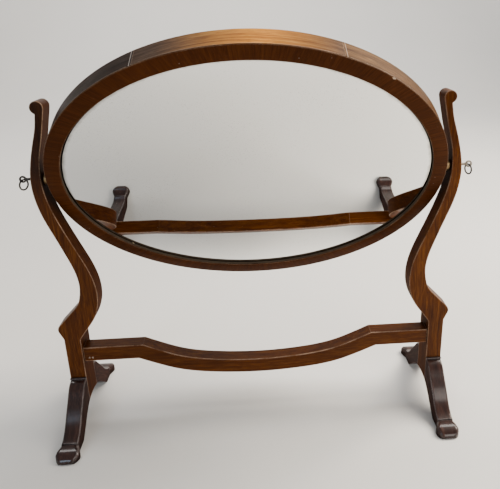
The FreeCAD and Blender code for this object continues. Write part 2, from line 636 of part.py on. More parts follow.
def toe():
    """Slipper toe: its plan, cut to its crowned side outline and rounded over."""
    def point(x, reach, height):
        return Vector(x, UPRIGHT_FRONT - reach, height)

    root = SOLE_START + (LEDGE_REACH - SOLE_START) / 2
    crown_start = LEDGE_HEIGHT - LEDGE_STEP
    out = POST_MIDDLE + TOE_HALF_WIDTH * 2
    crown = [point(out, LEDGE_REACH, crown_start)]
    crown += [point(out, TOE_REACH - back, height) for back, height in TOE_CROWN]
    side = prism([line(point(out, root, 0), point(out, root, crown_start)),
                  line(point(out, root, crown_start), crown[0]),
                  curve(crown),
                  line(crown[-1], point(out, TOE_REACH, TOE_NOSE)),
                  line(point(out, TOE_REACH, TOE_NOSE), point(out, TOE_REACH - TOE_NOSE, 0)),
                  line(point(out, TOE_REACH - TOE_NOSE, 0), point(out, root, 0))],
                 Vector(-4 * TOE_HALF_WIDTH, 0, 0))
    flank = [(TOE_REACH - root, POST_WIDTH / 2 - 0.3)]
    flank += [(back, share * TOE_HALF_WIDTH) for back, share in TOE_PLAN]
    flank += [(0.0, TOE_TIP_SHARE * TOE_HALF_WIDTH)]
    right = [point(POST_MIDDLE + half, TOE_REACH - back, 0) for back, half in flank]
    left = [point(POST_MIDDLE - half, TOE_REACH - back, 0) for back, half in flank]
    plan = prism([curve(right), line(right[-1], left[-1]), curve(list(reversed(left))), line(left[0], right[0])],
                 Vector(0, 0, LEDGE_HEIGHT))
    shaped = plan.common(side)
    rounded = [edge for edge in shaped.Edges if on_toe_crown(edge)]
    return shaped.makeFillet(TOE_ROUND, rounded)


def on_toe_crown(edge):
    """True for the edges where the toe's flanks meet its crown."""
    box = edge.BoundBox
    return box.ZMin > TOE_NOSE and box.YLength > TOE_ROUND and box.ZLength > 0.5


def leg_dowels():
    """All eight leg dowels."""
    right = leg_dowel_cylinders()
    return Part.makeCompound(right + [mirrored(dowel, ALONG_X) for dowel in right])


# ------------------------------------------------------------------ stretcher
def stretcher_dowel_cylinders():
    """Dowels between the right post and the stretcher."""
    length = STRETCHER_DOWEL_IN_POST + STRETCHER_DOWEL_IN_RAIL
    start = POST_INNER - STRETCHER_DOWEL_IN_RAIL
    heights = (STRETCHER_BOTTOM + STRETCHER_DOWEL_EDGE, RAIL_TOP - STRETCHER_DOWEL_EDGE)
    return [Part.makeCylinder(STRETCHER_DOWEL / 2, length, Vector(start, RAIL_MIDDLE, height), ALONG_X)
            for height in heights]


def joint_pin_cylinders():
    """Pins driven into the stretcher's front at its left end."""
    height = STRETCHER_BOTTOM + JOINT_PIN_HEIGHT
    return [Part.makeCylinder(JOINT_PIN_DIAMETER / 2, JOINT_PIN_LENGTH + JOINT_PIN_PROUD,
                              Vector(inset - POST_INNER, RAIL_FRONT - JOINT_PIN_PROUD, height), ALONG_Y)
            for inset in JOINT_PIN_INSETS]


def sag_points(kink, level):
    """Points of one sagging edge, from the left kink to the right one."""
    half = [(share * kink, level - STRETCHER_DROP * left) for share, left in SAG]
    left_side = [Vector(-x, RAIL_FRONT, z) for x, z in half]
    right_side = [Vector(x, RAIL_FRONT, z) for x, z in reversed(half)]
    return ([Vector(-kink, RAIL_FRONT, level)] + left_side + [Vector(0, RAIL_FRONT, level - STRETCHER_DROP)]
            + right_side + [Vector(kink, RAIL_FRONT, level)])


def stretcher():
    """Rail with level ends and a sagging middle, kinked where the sag begins."""
    top = sag_points(KINK_TOP, RAIL_TOP)
    bottom = sag_points(KINK_BOTTOM, STRETCHER_BOTTOM)
    top_left = Vector(-POST_INNER, RAIL_FRONT, RAIL_TOP)
    top_right = Vector(POST_INNER, RAIL_FRONT, RAIL_TOP)
    low_left = Vector(-POST_INNER, RAIL_FRONT, STRETCHER_BOTTOM)
    low_right = Vector(POST_INNER, RAIL_FRONT, STRETCHER_BOTTOM)
    rail = prism([line(top_left, top[0]),
                  curve(top),
                  line(top[-1], top_right),
                  line(top_right, low_right),
                  line(low_right, bottom[-1]),
                  curve(list(reversed(bottom))),
                  line(bottom[0], low_left),
                  line(low_left, top_left)], Vector(0, STRETCHER_DEPTH, 0))
    rail = rail.makeFillet(STRETCHER_ROUND, [edge for edge in rail.Edges if on_rail_arris(edge)])
    right_dowels = stretcher_dowel_cylinders()
    left_dowels = [mirrored(dowel, ALONG_X) for dowel in right_dowels]
    return rail.cut(right_dowels + left_dowels + joint_pin_cylinders())


def on_rail_arris(edge):
    """True for the rail's long edges, front and rear."""
    return edge.BoundBox.YLength < 0.01 and edge.BoundBox.XLength > STRETCHER_HEIGHT


def stretcher_dowels():
    """All four stretcher dowels."""
    right = stretcher_dowel_cylinders()
    return Part.makeCompound(right + [mirrored(dowel, ALONG_X) for dowel in right])


# ------------------------------------------------------------------ assembly
def mirror_nodes():
    """Every piece of the tilting frame, in its own frame."""
    nodes = frame_core()
    nodes.update(rim_veneers())
    nodes["face_veneer"] = face_veneer()
    nodes["mirror_plate"] = mirror_plate()
    nodes["glazing_blocks"] = glazing_blocks()
    nodes["backboard"] = backboard()
    nodes["back_screws"] = back_screws()
    nodes["left_pivot_plate"] = pivot_plate(-1)
    nodes["right_pivot_plate"] = pivot_plate(1)
    nodes["plate_screws"] = plate_screws()
    return nodes


def stand_nodes():
    """Every fixed piece of the stand."""
    right_upright = upright()
    right_front = front_leg()
    right_rear = mirrored(right_front, ALONG_Y, Vector(0, FOOT_MIDDLE, 0))
    nodes = {"right_upright": right_upright, "right_front_leg": right_front, "right_rear_leg": right_rear}
    for node in list(nodes):
        nodes["left" + node.removeprefix("right")] = mirrored(nodes[node], ALONG_X)
    nodes["leg_dowels"] = leg_dowels()
    nodes["stretcher"] = stretcher()
    nodes["stretcher_dowels"] = stretcher_dowels()
    nodes["joint_pins"] = Part.makeCompound(joint_pin_cylinders())
    return nodes


def moving_nodes():
    """Thumb-screws and their drop rings."""
    nodes = {}
    for name, side in (("left", -1), ("right", 1)):
        nodes[f"{name}_thumb_screw"] = thumb_screw(side)
        nodes[f"{name}_drop_ring"] = drop_ring(side, name)
    return nodes


def build():
    """All nodes at rest."""
    nodes = {node: at_rest(shape) for node, shape in mirror_nodes().items()}
    nodes.update(stand_nodes())
    nodes.update(moving_nodes())
    return {node: shape.translated(Vector(0, PIVOT_PLANE, 0)) for node, shape in nodes.items()}


os.makedirs("parts", exist_ok=True)
for node_name, node_shape in build().items():
    node_shape.exportStep(f"parts/{node_name}.step")
    print(node_name, len(node_shape.Solids), round(node_shape.Volume), node_shape.isValid())
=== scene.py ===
"""Oval toilet mirror that tilts between two scroll-topped uprights: finishes, studio and camera.

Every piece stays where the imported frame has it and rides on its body. Metres; X runs across the
mirror, the front faces -Y, and Z = 0 is the table top.
"""

import json
import logging
import math
from dataclasses import dataclass, replace
from enum import Enum
from typing import Any, Iterable, Optional, Sequence, Union

import bpy
from bpy.types import ID, Material, Node, NodeSocket, NodeTree, Object
from mathutils import Euler, Matrix, Vector


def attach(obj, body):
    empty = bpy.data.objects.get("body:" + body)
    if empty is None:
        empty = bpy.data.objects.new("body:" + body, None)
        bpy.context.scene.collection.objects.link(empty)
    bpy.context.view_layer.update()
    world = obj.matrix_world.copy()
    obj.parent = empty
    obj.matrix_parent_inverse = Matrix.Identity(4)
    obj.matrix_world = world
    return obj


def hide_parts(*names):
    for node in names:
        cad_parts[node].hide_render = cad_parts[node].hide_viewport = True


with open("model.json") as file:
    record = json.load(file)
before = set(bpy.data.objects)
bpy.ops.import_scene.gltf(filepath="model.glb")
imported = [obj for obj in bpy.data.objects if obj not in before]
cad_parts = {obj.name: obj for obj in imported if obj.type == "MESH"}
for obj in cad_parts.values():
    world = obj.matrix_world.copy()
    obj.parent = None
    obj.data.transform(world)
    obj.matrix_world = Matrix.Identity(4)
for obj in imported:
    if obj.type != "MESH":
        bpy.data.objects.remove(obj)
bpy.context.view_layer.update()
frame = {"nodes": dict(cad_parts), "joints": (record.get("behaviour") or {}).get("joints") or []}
NODES = frame["nodes"]

MM = 0.001
FULL_TURN = 2 * math.pi
QUARTER_TURN = math.pi / 2
OVAL_MEAN_RADIUS = 178.1 * MM

# The colour sockets of a Mix node share their names with others, so they go by place.
MIX_SHARE, MIX_UNDER, MIX_OVER, MIX_RESULT = 0, 6, 7, 2
# So do the upper limit and the result of a Random Value node that gives a number.
RANDOM_MAX, RANDOM_RESULT = 3, 1

# Where the dark, middle and light tone of a wood stand on its figure.
TONE_STOPS = (0.12, 0.5, 0.9)
# What the ribbon figure and the fibre each give to that figure.
RIBBON_SHARE, FIBRE_SHARE = 0.55, 0.45
# Shares of the dark tone that clouds, pores and sheltered corners show.
CLOUD_TONE, PORE_TONE, SHELTER_TONE = 0.45, 0.3, 0.25
# How far one step of the seed moves a pattern along each axis.
SEED_STEP = (1.37, 0.71, 0.29)
EDGE_SAMPLES = 6
DUST = (0.42, 0.36, 0.3)
DARKEST_LEAF = (0.80, 0.79, 0.78)
WHITE = (1.0, 1.0, 1.0)
# Relief of fibre and scratches beside that of the pores, and the roughness of dull sides.
FINE_RELIEF, SIDE_ROUGHNESS = 0.35, 0.68
SOFT_SAMPLES = 8

# The attribute that tells the leaves of the crossbanding apart, and where their count starts.
LEAF_TONE, FIRST_LEAF = "leaf_tone", 200.0
SCREW_SIDES = 28
# Length, width and depth of a screw's slot as shares of its head.
SLOT_SHARES = (1.3, 0.16, 0.28)

Triple = tuple[float, float, float]
Wire = NodeSocket
Wires = Sequence[Wire]
Feed = Union[Wire, float, int, bool, Sequence[float]]

logging.basicConfig(level=logging.INFO, format="%(message)s")
log = logging.getLogger("oval_mirror")


# ---------- node trees
def label(name: str) -> str:
    """The label of the socket that a Python name stands for."""
    return name.replace("_", " ").title()


def opaque(colour: Feed) -> Feed:
    """A colour with full alpha; links pass through."""
    return (*colour, 1.0) if isinstance(colour, tuple) else colour


class Graph:
    """A node tree that is wired by short calls."""

    def __init__(self, tree: NodeTree) -> None:
        """Wraps a shader or geometry tree."""
        self.tree = tree

    def feed(self, socket: Wire, value: Feed) -> None:
        """Links a socket to another node's output, or sets its own value.

        Args:
            socket: the input socket.
            value: the output or the plain value.
        """
        if isinstance(value, Wire):
            self.tree.links.new(value, socket)
        else:
            socket.default_value = value

    def node(self, kind: str, feeds: Optional[dict[Any, Feed]] = None,
             **settings: Any) -> Node:
        """Adds a node.

        Args:
            kind: Blender's name for the node's type.
            feeds: value or link for each input, by name or place.
            **settings: the node's own settings.

        Returns:
            The new node.
        """
        made = self.tree.nodes.new(kind)
        for name, value in settings.items():
            setattr(made, name, value)
        for key, value in (feeds or {}).items():
            self.feed(made.inputs[key], value)
        return made

    def first(self, kind: str, feeds: Optional[dict[Any, Feed]] = None, **settings: Any) -> Wire:
        """Adds a node and returns its first output."""
        return self.node(kind, feeds, **settings).outputs[0]

    def math(self, operation: str, *values: Feed) -> Wire:
        """Adds a Math node and returns its value."""
        return self.first("ShaderNodeMath", dict(enumerate(values)), operation=operation)

    def add(self, first: Feed, second: Feed) -> Wire:
        """Adds two values."""
        return self.math("ADD", first, second)

    def minus(self, first: Feed, second: Feed) -> Wire:
        """Takes the second value from the first."""
        return self.math("SUBTRACT", first, second)

    def times(self, first: Feed, second: Feed) -> Wire:
        """Multiplies two values."""
        return self.math("MULTIPLY", first, second)

    def divide(self, first: Feed, second: Feed) -> Wire:
        """Divides the first value by the second."""
        return self.math("DIVIDE", first, second)

    def vector(self, operation: str, *vectors: Feed) -> Wire:
        """Adds a Vector Math node and returns its vector, or a length or dot product's value."""
        made = self.node("ShaderNodeVectorMath", dict(enumerate(vectors)), operation=operation)
        return made.outputs["Value" if operation in ("LENGTH", "DOT_PRODUCT") else "Vector"]

    def combine(self, x: Feed = 0.0, y: Feed = 0.0, z: Feed = 0.0) -> Wire:
        """Adds a Combine XYZ node and returns its vector."""
        return self.first("ShaderNodeCombineXYZ", {0: x, 1: y, 2: z})

    def split(self, vector: Feed) -> Wires:
        """Adds a Separate XYZ node and returns its three values."""
        return self.node("ShaderNodeSeparateXYZ", {0: vector}).outputs

    def remap(self, value: Feed, low: float, high: float, to_low: float = 0.0,
              to_high: float = 1.0) -> Wire:
        """Adds a clamped Map Range node and returns its value: to_low at low, to_high at high."""
        feeds = dict(enumerate((value, low, high, to_low, to_high)))
        return self.first("ShaderNodeMapRange", feeds)

    def mix(self, share: Feed, under: Feed, over: Feed, blend: str = "MIX") -> Wire:
        """Adds a colour Mix node.

        Args:
            share: how much of the over colour shows.
            under: the colour below.
            over: the colour laid on it.
            blend: how the two are blended.

        Returns:
            The mixed colour.
        """
        feeds = {MIX_SHARE: share, MIX_UNDER: opaque(under), MIX_OVER: opaque(over)}
        made = self.node("ShaderNodeMix", feeds, data_type="RGBA", blend_type=blend)
        return made.outputs[MIX_RESULT]

    def ramp(self, value: Feed, places: Sequence[float], colours: Sequence[Triple]) -> Wire:
        """Adds a Color Ramp node.

        Args:
            value: what picks the colour.
            places: where each stop stands.
            colours: the stops' colours.

        Returns:
            The colour.
        """
        made = self.node("ShaderNodeValToRGB", {0: value})
        elements = made.color_ramp.elements
        while len(elements) < len(places):
            elements.new(1.0)
        for element, place, colour in zip(elements, places, colours):
            element.position = place
            element.color = opaque(colour)
        return made.outputs[0]

    def noise(self, vector: Feed, scale: Union[float, Triple, Wire], detail: float = 2.0,
              roughness: float = 0.5) -> Wire:
        """Adds a Noise Texture node.

        Args:
            vector: where the noise is read.
            scale: features per metre, one number for all axes or a vector.
            detail: finer layers.
            roughness: weight of the finer layers.

        Returns:
            The noise, around 0.5.
        """
        if not isinstance(scale, float):
            vector, scale = self.vector("MULTIPLY", vector, scale), 1.0
        feeds = {"Vector": vector, "Scale": scale, "Detail": detail, "Roughness": roughness}
        return self.node("ShaderNodeTexNoise", feeds).outputs["Fac"]

    def own(self, kind: str) -> Wire:
        """The piece's own coordinates, Object or Normal."""
        return self.node("ShaderNodeTexCoord").outputs[kind]

    def lean(self, axis: Feed) -> Wire:
        """How squarely the piece's surface faces along an axis, either way."""
        return self.math("ABSOLUTE", self.vector("DOT_PRODUCT", self.own("Normal"), axis))

    def group(self, tree_name: str, **feeds: Feed) -> Wires:
        """Places a shared group, its inputs named with underscores, and returns its outputs."""
        named = {label(name): value for name, value in feeds.items()}
        return self.node("ShaderNodeGroup", named,
                         node_tree=bpy.data.node_groups[tree_name]).outputs

    def deliver(self, kind: str, **results: Wire) -> NodeTree:
        """Gives a node group its outputs.

        Args:
            kind: Float or Geometry.
            **results: what each output gives.

        Returns:
            The finished group.
        """
        for name in results:
            self.tree.interface.new_socket(name=name, in_out="OUTPUT",
                                           socket_type=f"NodeSocket{kind}")
        self.node("NodeGroupOutput", results)
        return self.tree


def new_group(name: str, kind: str, **inputs: Union[float, str]) -> tuple[Graph, Wires]:
    """Starts a node group.

    Args:
        name: the group's name.
        kind: Shader or Geometry.
        **inputs: each input's default number, or the kind of its socket where it has none.

    Returns:
        Its graph and the values that come in.
    """
    tree = bpy.data.node_groups.new(name, f"{kind}NodeTree")
    for key, given in inputs.items():
        plain = not isinstance(given, str)
        socket_kind = type(given).__name__.title() if plain else given
        socket = tree.interface.new_socket(name=label(key), in_out="INPUT",
                                           socket_type=f"NodeSocket{socket_kind}")
        if plain:
            socket.default_value = given
    graph = Graph(tree)
    return graph, graph.node("NodeGroupInput").outputs


def new_material(name: str) -> tuple[Material, Graph]:
    """Starts a material.

    Args:
        name: the material's name.

    Returns:
        The material and its empty graph.
    """
    material = bpy.data.materials.new(name)
    material.use_nodes = True
    material.node_tree.nodes.clear()
    return material, Graph(material.node_tree)


def surface(graph: Graph, feeds: dict[str, Feed]) -> None:
    """Ends a material with a Principled shader that takes these feeds."""
    shader = graph.first("ShaderNodeBsdfPrincipled", feeds)
    graph.node("ShaderNodeOutputMaterial", {"Surface": shader})


# ---------- shared effects
@dataclass(frozen=True)
class OvalPlace:
    """Where the tilting frame stands at rest, and the size of its sight."""

    pivot: Triple
    tilt: float = math.radians(29.4)
    sight_half_width: float = 199.3 * MM
    sight_half_height: float = 156.9 * MM

    @property
    def turn(self) -> Euler:
        """Rotation from the frame's own axes, x across and z out of the glass, to the table's."""
        return Euler((QUARTER_TURN + self.tilt, 0.0, 0.0))

    @property
    def matrix(self) -> Matrix:
        """The frame's own axes as a placement."""
        return Matrix.Translation(self.pivot) @ self.turn.to_matrix().to_4x4()


@dataclass(frozen=True)
class SharedEffects:
    """Node groups that several finishes use, each by its name."""

    place: OvalPlace

    def build(self) -> None:
        """Builds each group once."""
        self._oval_coordinates()
        self._wood_figure()
        self._edge_wear()
        self._surface_marks()

    def _oval_coordinates(self) -> None:
        """Distances round the oval from its top, out from its sight and out of the glass."""
        place = self.place
        graph, given = new_group("oval_coordinates", "Shader", position="Vector")
        feeds = {"Vector": given["Position"], "Location": place.pivot, "Rotation": place.turn}
        own = graph.first("ShaderNodeMapping", feeds, vector_type="TEXTURE")
        across, up, depth = graph.split(own)
        width_share = graph.divide(across, place.sight_half_width)
        height_share = graph.divide(up, place.sight_half_height)
        angle = graph.math("ARCTAN2", width_share, height_share)
        mean = (place.sight_half_width + place.sight_half_height) / 2
        reach = graph.vector("LENGTH", graph.combine(width_share, height_share))
        out = graph.times(graph.minus(reach, 1.0), mean)
        graph.deliver("Float", Around=graph.times(angle, mean), Out=out, Depth=depth,
                      Angle=angle)

    @staticmethod
    def _wood_figure() -> None:
        """Ribbon figure, fibre, open pores and cloudy tone of a wood whose grain runs along x."""
        graph, given = new_group("wood_figure", "Shader", grain="Vector", seed=0.0,
                                 band_width=6 * MM, wander=4 * MM)
        step = graph.combine(*(graph.times(given["Seed"], part) for part in SEED_STEP))
        placed = graph.vector("ADD", given["Grain"], step)
        drifts = (graph.noise(placed, (7.0, 22.0, 22.0)), graph.noise(placed, (6.5, 40.3, 22.1)))
        shift = graph.combine(0.0, *(graph.times(graph.minus(drift, 0.5), given["Wander"])
                                     for drift in drifts))
        bent = graph.vector("ADD", placed, graph.vector("MULTIPLY", shift, (1.0, 4.0, 4.0)))
        bands = graph.divide(1.0, given["Band Width"])
        ribbons = graph.combine(graph.times(bands, 0.02), bands, bands)
        figure = graph.noise(bent, ribbons, 5.0, 0.62)
        fibre = graph.noise(bent, (55.0, 1000.0, 1000.0), 3.0, 0.6)
        vessels = graph.noise(bent, (150.0, 2400.0, 2400.0), 1.0)
        crowding = graph.noise(bent, (9.0, 160.0, 160.0), 1.0)
        pores = graph.times(graph.remap(vessels, 0.60, 0.72), graph.remap(crowding, 0.35, 0.65))
        cloud = graph.noise(placed, (9.0, 16.0, 16.0), 3.0)
        graph.deliver("Float", Figure=graph.remap(figure, 0.25, 0.75),
                      Fibre=graph.remap(fibre, 0.25, 0.75), Pores=pores,
                      Cloud=graph.remap(cloud, 0.3, 0.7))

    @staticmethod
    def _edge_wear() -> None:
        """Rubbed arrises and sheltered corners.

        The board axis points out of the faces whose long arrises are eased.
        """
        graph, given = new_group("edge_wear", "Shader", position="Vector", radius=1.6 * MM,
                                 seed=0.0, board_axis="Vector")
        softened = graph.first("ShaderNodeBevel", {"Radius": given["Radius"]},
                               samples=EDGE_SAMPLES)
        true = graph.node("ShaderNodeNewGeometry").outputs["Normal"]
        turned = graph.minus(1.0, graph.vector("DOT_PRODUCT", softened, true))
        slant = graph.lean(given["Board Axis"])
        eased = graph.times(graph.remap(slant, 0.22, 0.5), graph.remap(slant, 0.985, 0.9))
        eased = graph.times(eased, graph.remap(turned, 0.0008, 0.004))
        edge = graph.math("MAXIMUM", graph.remap(turned, 0.006, 0.075), eased)
        place = graph.vector("ADD", given["Position"], graph.combine(given["Seed"], given["Seed"]))
        rubbed = graph.noise(place, 38.0, 4.0, 0.65)
        crumbs = graph.noise(place, 420.0, 2.0, 0.6)
        patchy = graph.add(graph.remap(rubbed, 0.34, 0.64, 0.10, 1.0),
                           graph.remap(crumbs, 0.45, 0.8, 0.0, 0.4))
        shelter = graph.node("ShaderNodeAmbientOcclusion", {"Distance": 15 * MM},
                             samples=EDGE_SAMPLES, only_local=False)
        graph.deliver("Float", Worn=graph.math("MINIMUM", graph.times(edge, patchy), 1.0),
                      Sheltered=graph.remap(shelter.outputs["AO"], 0.88, 0.40))

    @staticmethod
    def _surface_marks() -> None:
        """Hand smudges, hair scratches and dust specks on a polished surface."""
        graph, given = new_group("surface_marks", "Shader", position="Vector", seed=0.0)
        shift = graph.combine(given["Seed"], 0.0, given["Seed"])
        place = graph.vector("ADD", given["Position"], shift)
        smudge = graph.noise(place, 27.0, 3.0, 0.6)
        skewed = graph.first("ShaderNodeMapping", {"Vector": place, "Rotation": (0.4, 0.7, 0.9),
                                                   "Scale": (30.0, 900.0, 900.0)})
        scratch = graph.remap(graph.noise(skewed, 1.0, 1.0), 0.69, 0.73)
        cells = graph.node("ShaderNodeTexVoronoi", {"Vector": place, "Scale": 210.0})
        near = graph.remap(cells.outputs["Distance"], 0.10, 0.05)
        chance = graph.remap(graph.split(cells.outputs["Color"])[0], 0.84, 0.86)
        graph.deliver("Float", Smudge=graph.remap(smudge, 0.35, 0.7), Scratch=scratch,
                      Specks=graph.times(near, chance))


# ---------- finishes
class Grain(Enum):
    """Which way the grain runs: a direction, or the oval's coordinates with the grain's first."""

    UPRIGHT = (0.0, 0.0, 1.0)
    ACROSS = (1.0, 0.0, 0.0)
    DOWN_FRONT_LEG = (0.0, -0.79, -0.61)
    DOWN_REAR_LEG = (0.0, 0.79, -0.61)
    ROUND_THE_OVAL = ("Around", "Out", "Depth")
    OUT_FROM_THE_OVAL = ("Out", "Around", "Depth")


class Side(Enum):
    """A side of the mirror, as its sign along X."""

    LEFT = -1
    RIGHT = 1

    def part(self, name: str) -> str:
        """The name of this side's node of a pair."""
        return f"{self.name.lower()}_{name}"


def on_oval(graph: Graph, oval: Wires, grain: Grain = Grain.ROUND_THE_OVAL) -> Wire:
    """The oval's coordinates as one vector, in the grain's order."""
    return graph.combine(*(oval[name] for name in grain.value))


def aside_of(graph: Graph, oval: Wires, degrees: float) -> Wire:
    """Angle along the oval to a place on it, either way."""
    return graph.math("ABSOLUTE", graph.minus(oval["Angle"], math.radians(degrees)))


@dataclass(frozen=True)
class GlueLine:
    """A butt joint across a veneer, at an angle from the top of the oval."""

    degrees: float
    colour: Triple
    strength: float
    half_width: float = 0.22 * MM
    unworn: tuple[float, float] = (1.6 * MM, 2.2 * MM)

    def mask(self, graph: Graph, oval: Wires) -> Wire:
        """The line's share of the colour."""
        low, high = (share * self.half_width / OVAL_MEAN_RADIUS for share in (1.5, 0.7))
        return graph.remap(aside_of(graph, oval, self.degrees), low, high, 0.0, self.strength)

    def clearance(self, graph: Graph, oval: Wires) -> Wire:
        """The share of the wear that shows: none on the line, all of it away from the line."""
        low, high = (reach / OVAL_MEAN_RADIUS for reach in self.unworn)
        return graph.remap(aside_of(graph, oval, self.degrees), low, high)


@dataclass(frozen=True)
class Chip:
    """A small loss on an arris of the oval, where pale wood shows."""

    degrees: float
    out: float
    length: float
    width: float = 1.3 * MM
    depth: float = 17.2 * MM
    colour: Triple = (0.52, 0.38, 0.26)

    def mask(self, graph: Graph, oval: Wires) -> Wire:
        """Where the loss shows.

        Args:
            graph: the material's graph.
            oval: the oval's coordinates.

        Returns:
            The loss's share of the colour.
        """
        along = graph.minus(oval["Angle"], math.radians(self.degrees))
        along = graph.divide(along, self.length / OVAL_MEAN_RADIUS)
        across = graph.divide(graph.minus(oval["Out"], self.out), self.width)
        inward = graph.divide(graph.minus(oval["Depth"], self.depth), self.width)
        reach = graph.vector("LENGTH", graph.combine(along, across, inward))
        ragged = graph.noise(on_oval(graph, oval), 900.0)
        return graph.remap(graph.add(reach, ragged), 1.25, 0.95)


@dataclass(frozen=True)
class SightStain:
    """Dark stain on the inner edge of the oval, round the glass."""

    reach: float = 1.4 * MM
    fade: float = 0.5 * MM
    raggedness: float = 0.6 * MM
    colour: Triple = (0.058, 0.038, 0.022)

    def mask(self, graph: Graph, oval: Wires) -> Wire:
        """The stain's share of the colour."""
        ragged = graph.times(graph.noise(on_oval(graph, oval), 300.0, 3.0), self.raggedness)
        return graph.remap(graph.add(oval["Out"], ragged), self.reach, self.reach - self.fade,
                           0.0, 0.95)


@dataclass(frozen=True)
class SunBleach:
    """Painted highlight: golden wood towards the crown of the oval, where the light falls."""

    degrees: float = 2.5
    spread: float = 26.0
    heart: float = 2.0
    falloff: float = 1.8
    dark: Triple = (0.290, 0.088, 0.0085)
    middle: Triple = (0.700, 0.270, 0.0290)
    light: Triple = (0.960, 0.480, 0.085)

    def fade(self, graph: Graph, oval: Wires, shade: Wire, colour: Wire) -> Wire:
        """Paints the golden highlight on, stronger towards the crown.

        Args:
            graph: the material's graph.
            oval: the oval's coordinates.
            shade: the figure that picks each tone.
            colour: the wood's own colour.

        Returns:
            The colour with the painted highlight.
        """
        aside = aside_of(graph, oval, self.degrees)
        share = graph.remap(aside, math.radians(self.spread), math.radians(self.heart))
        golden = graph.ramp(shade, TONE_STOPS, (self.dark, self.middle, self.light))
        return graph.mix(graph.math("POWER", share, self.falloff), colour, golden)


@dataclass(frozen=True)
class HandDark:
    """Painted shade on an upright, deeper and deeper up it."""

    low: float
    high: float
    share: float
    colour: Triple = (0.0180, 0.0105, 0.0076)

    def darken(self, graph: Graph, position: Wire, colour: Wire) -> Wire:
        """The colour with the painted shade."""
        share = graph.remap(graph.split(position)[2], self.low, self.high, 0.0, self.share)
        return graph.mix(share, colour, self.colour)


def share_of(colour: Triple, share: float) -> Triple:
    """The colour at a share of its brightness."""
    return tuple(share * part for part in colour)


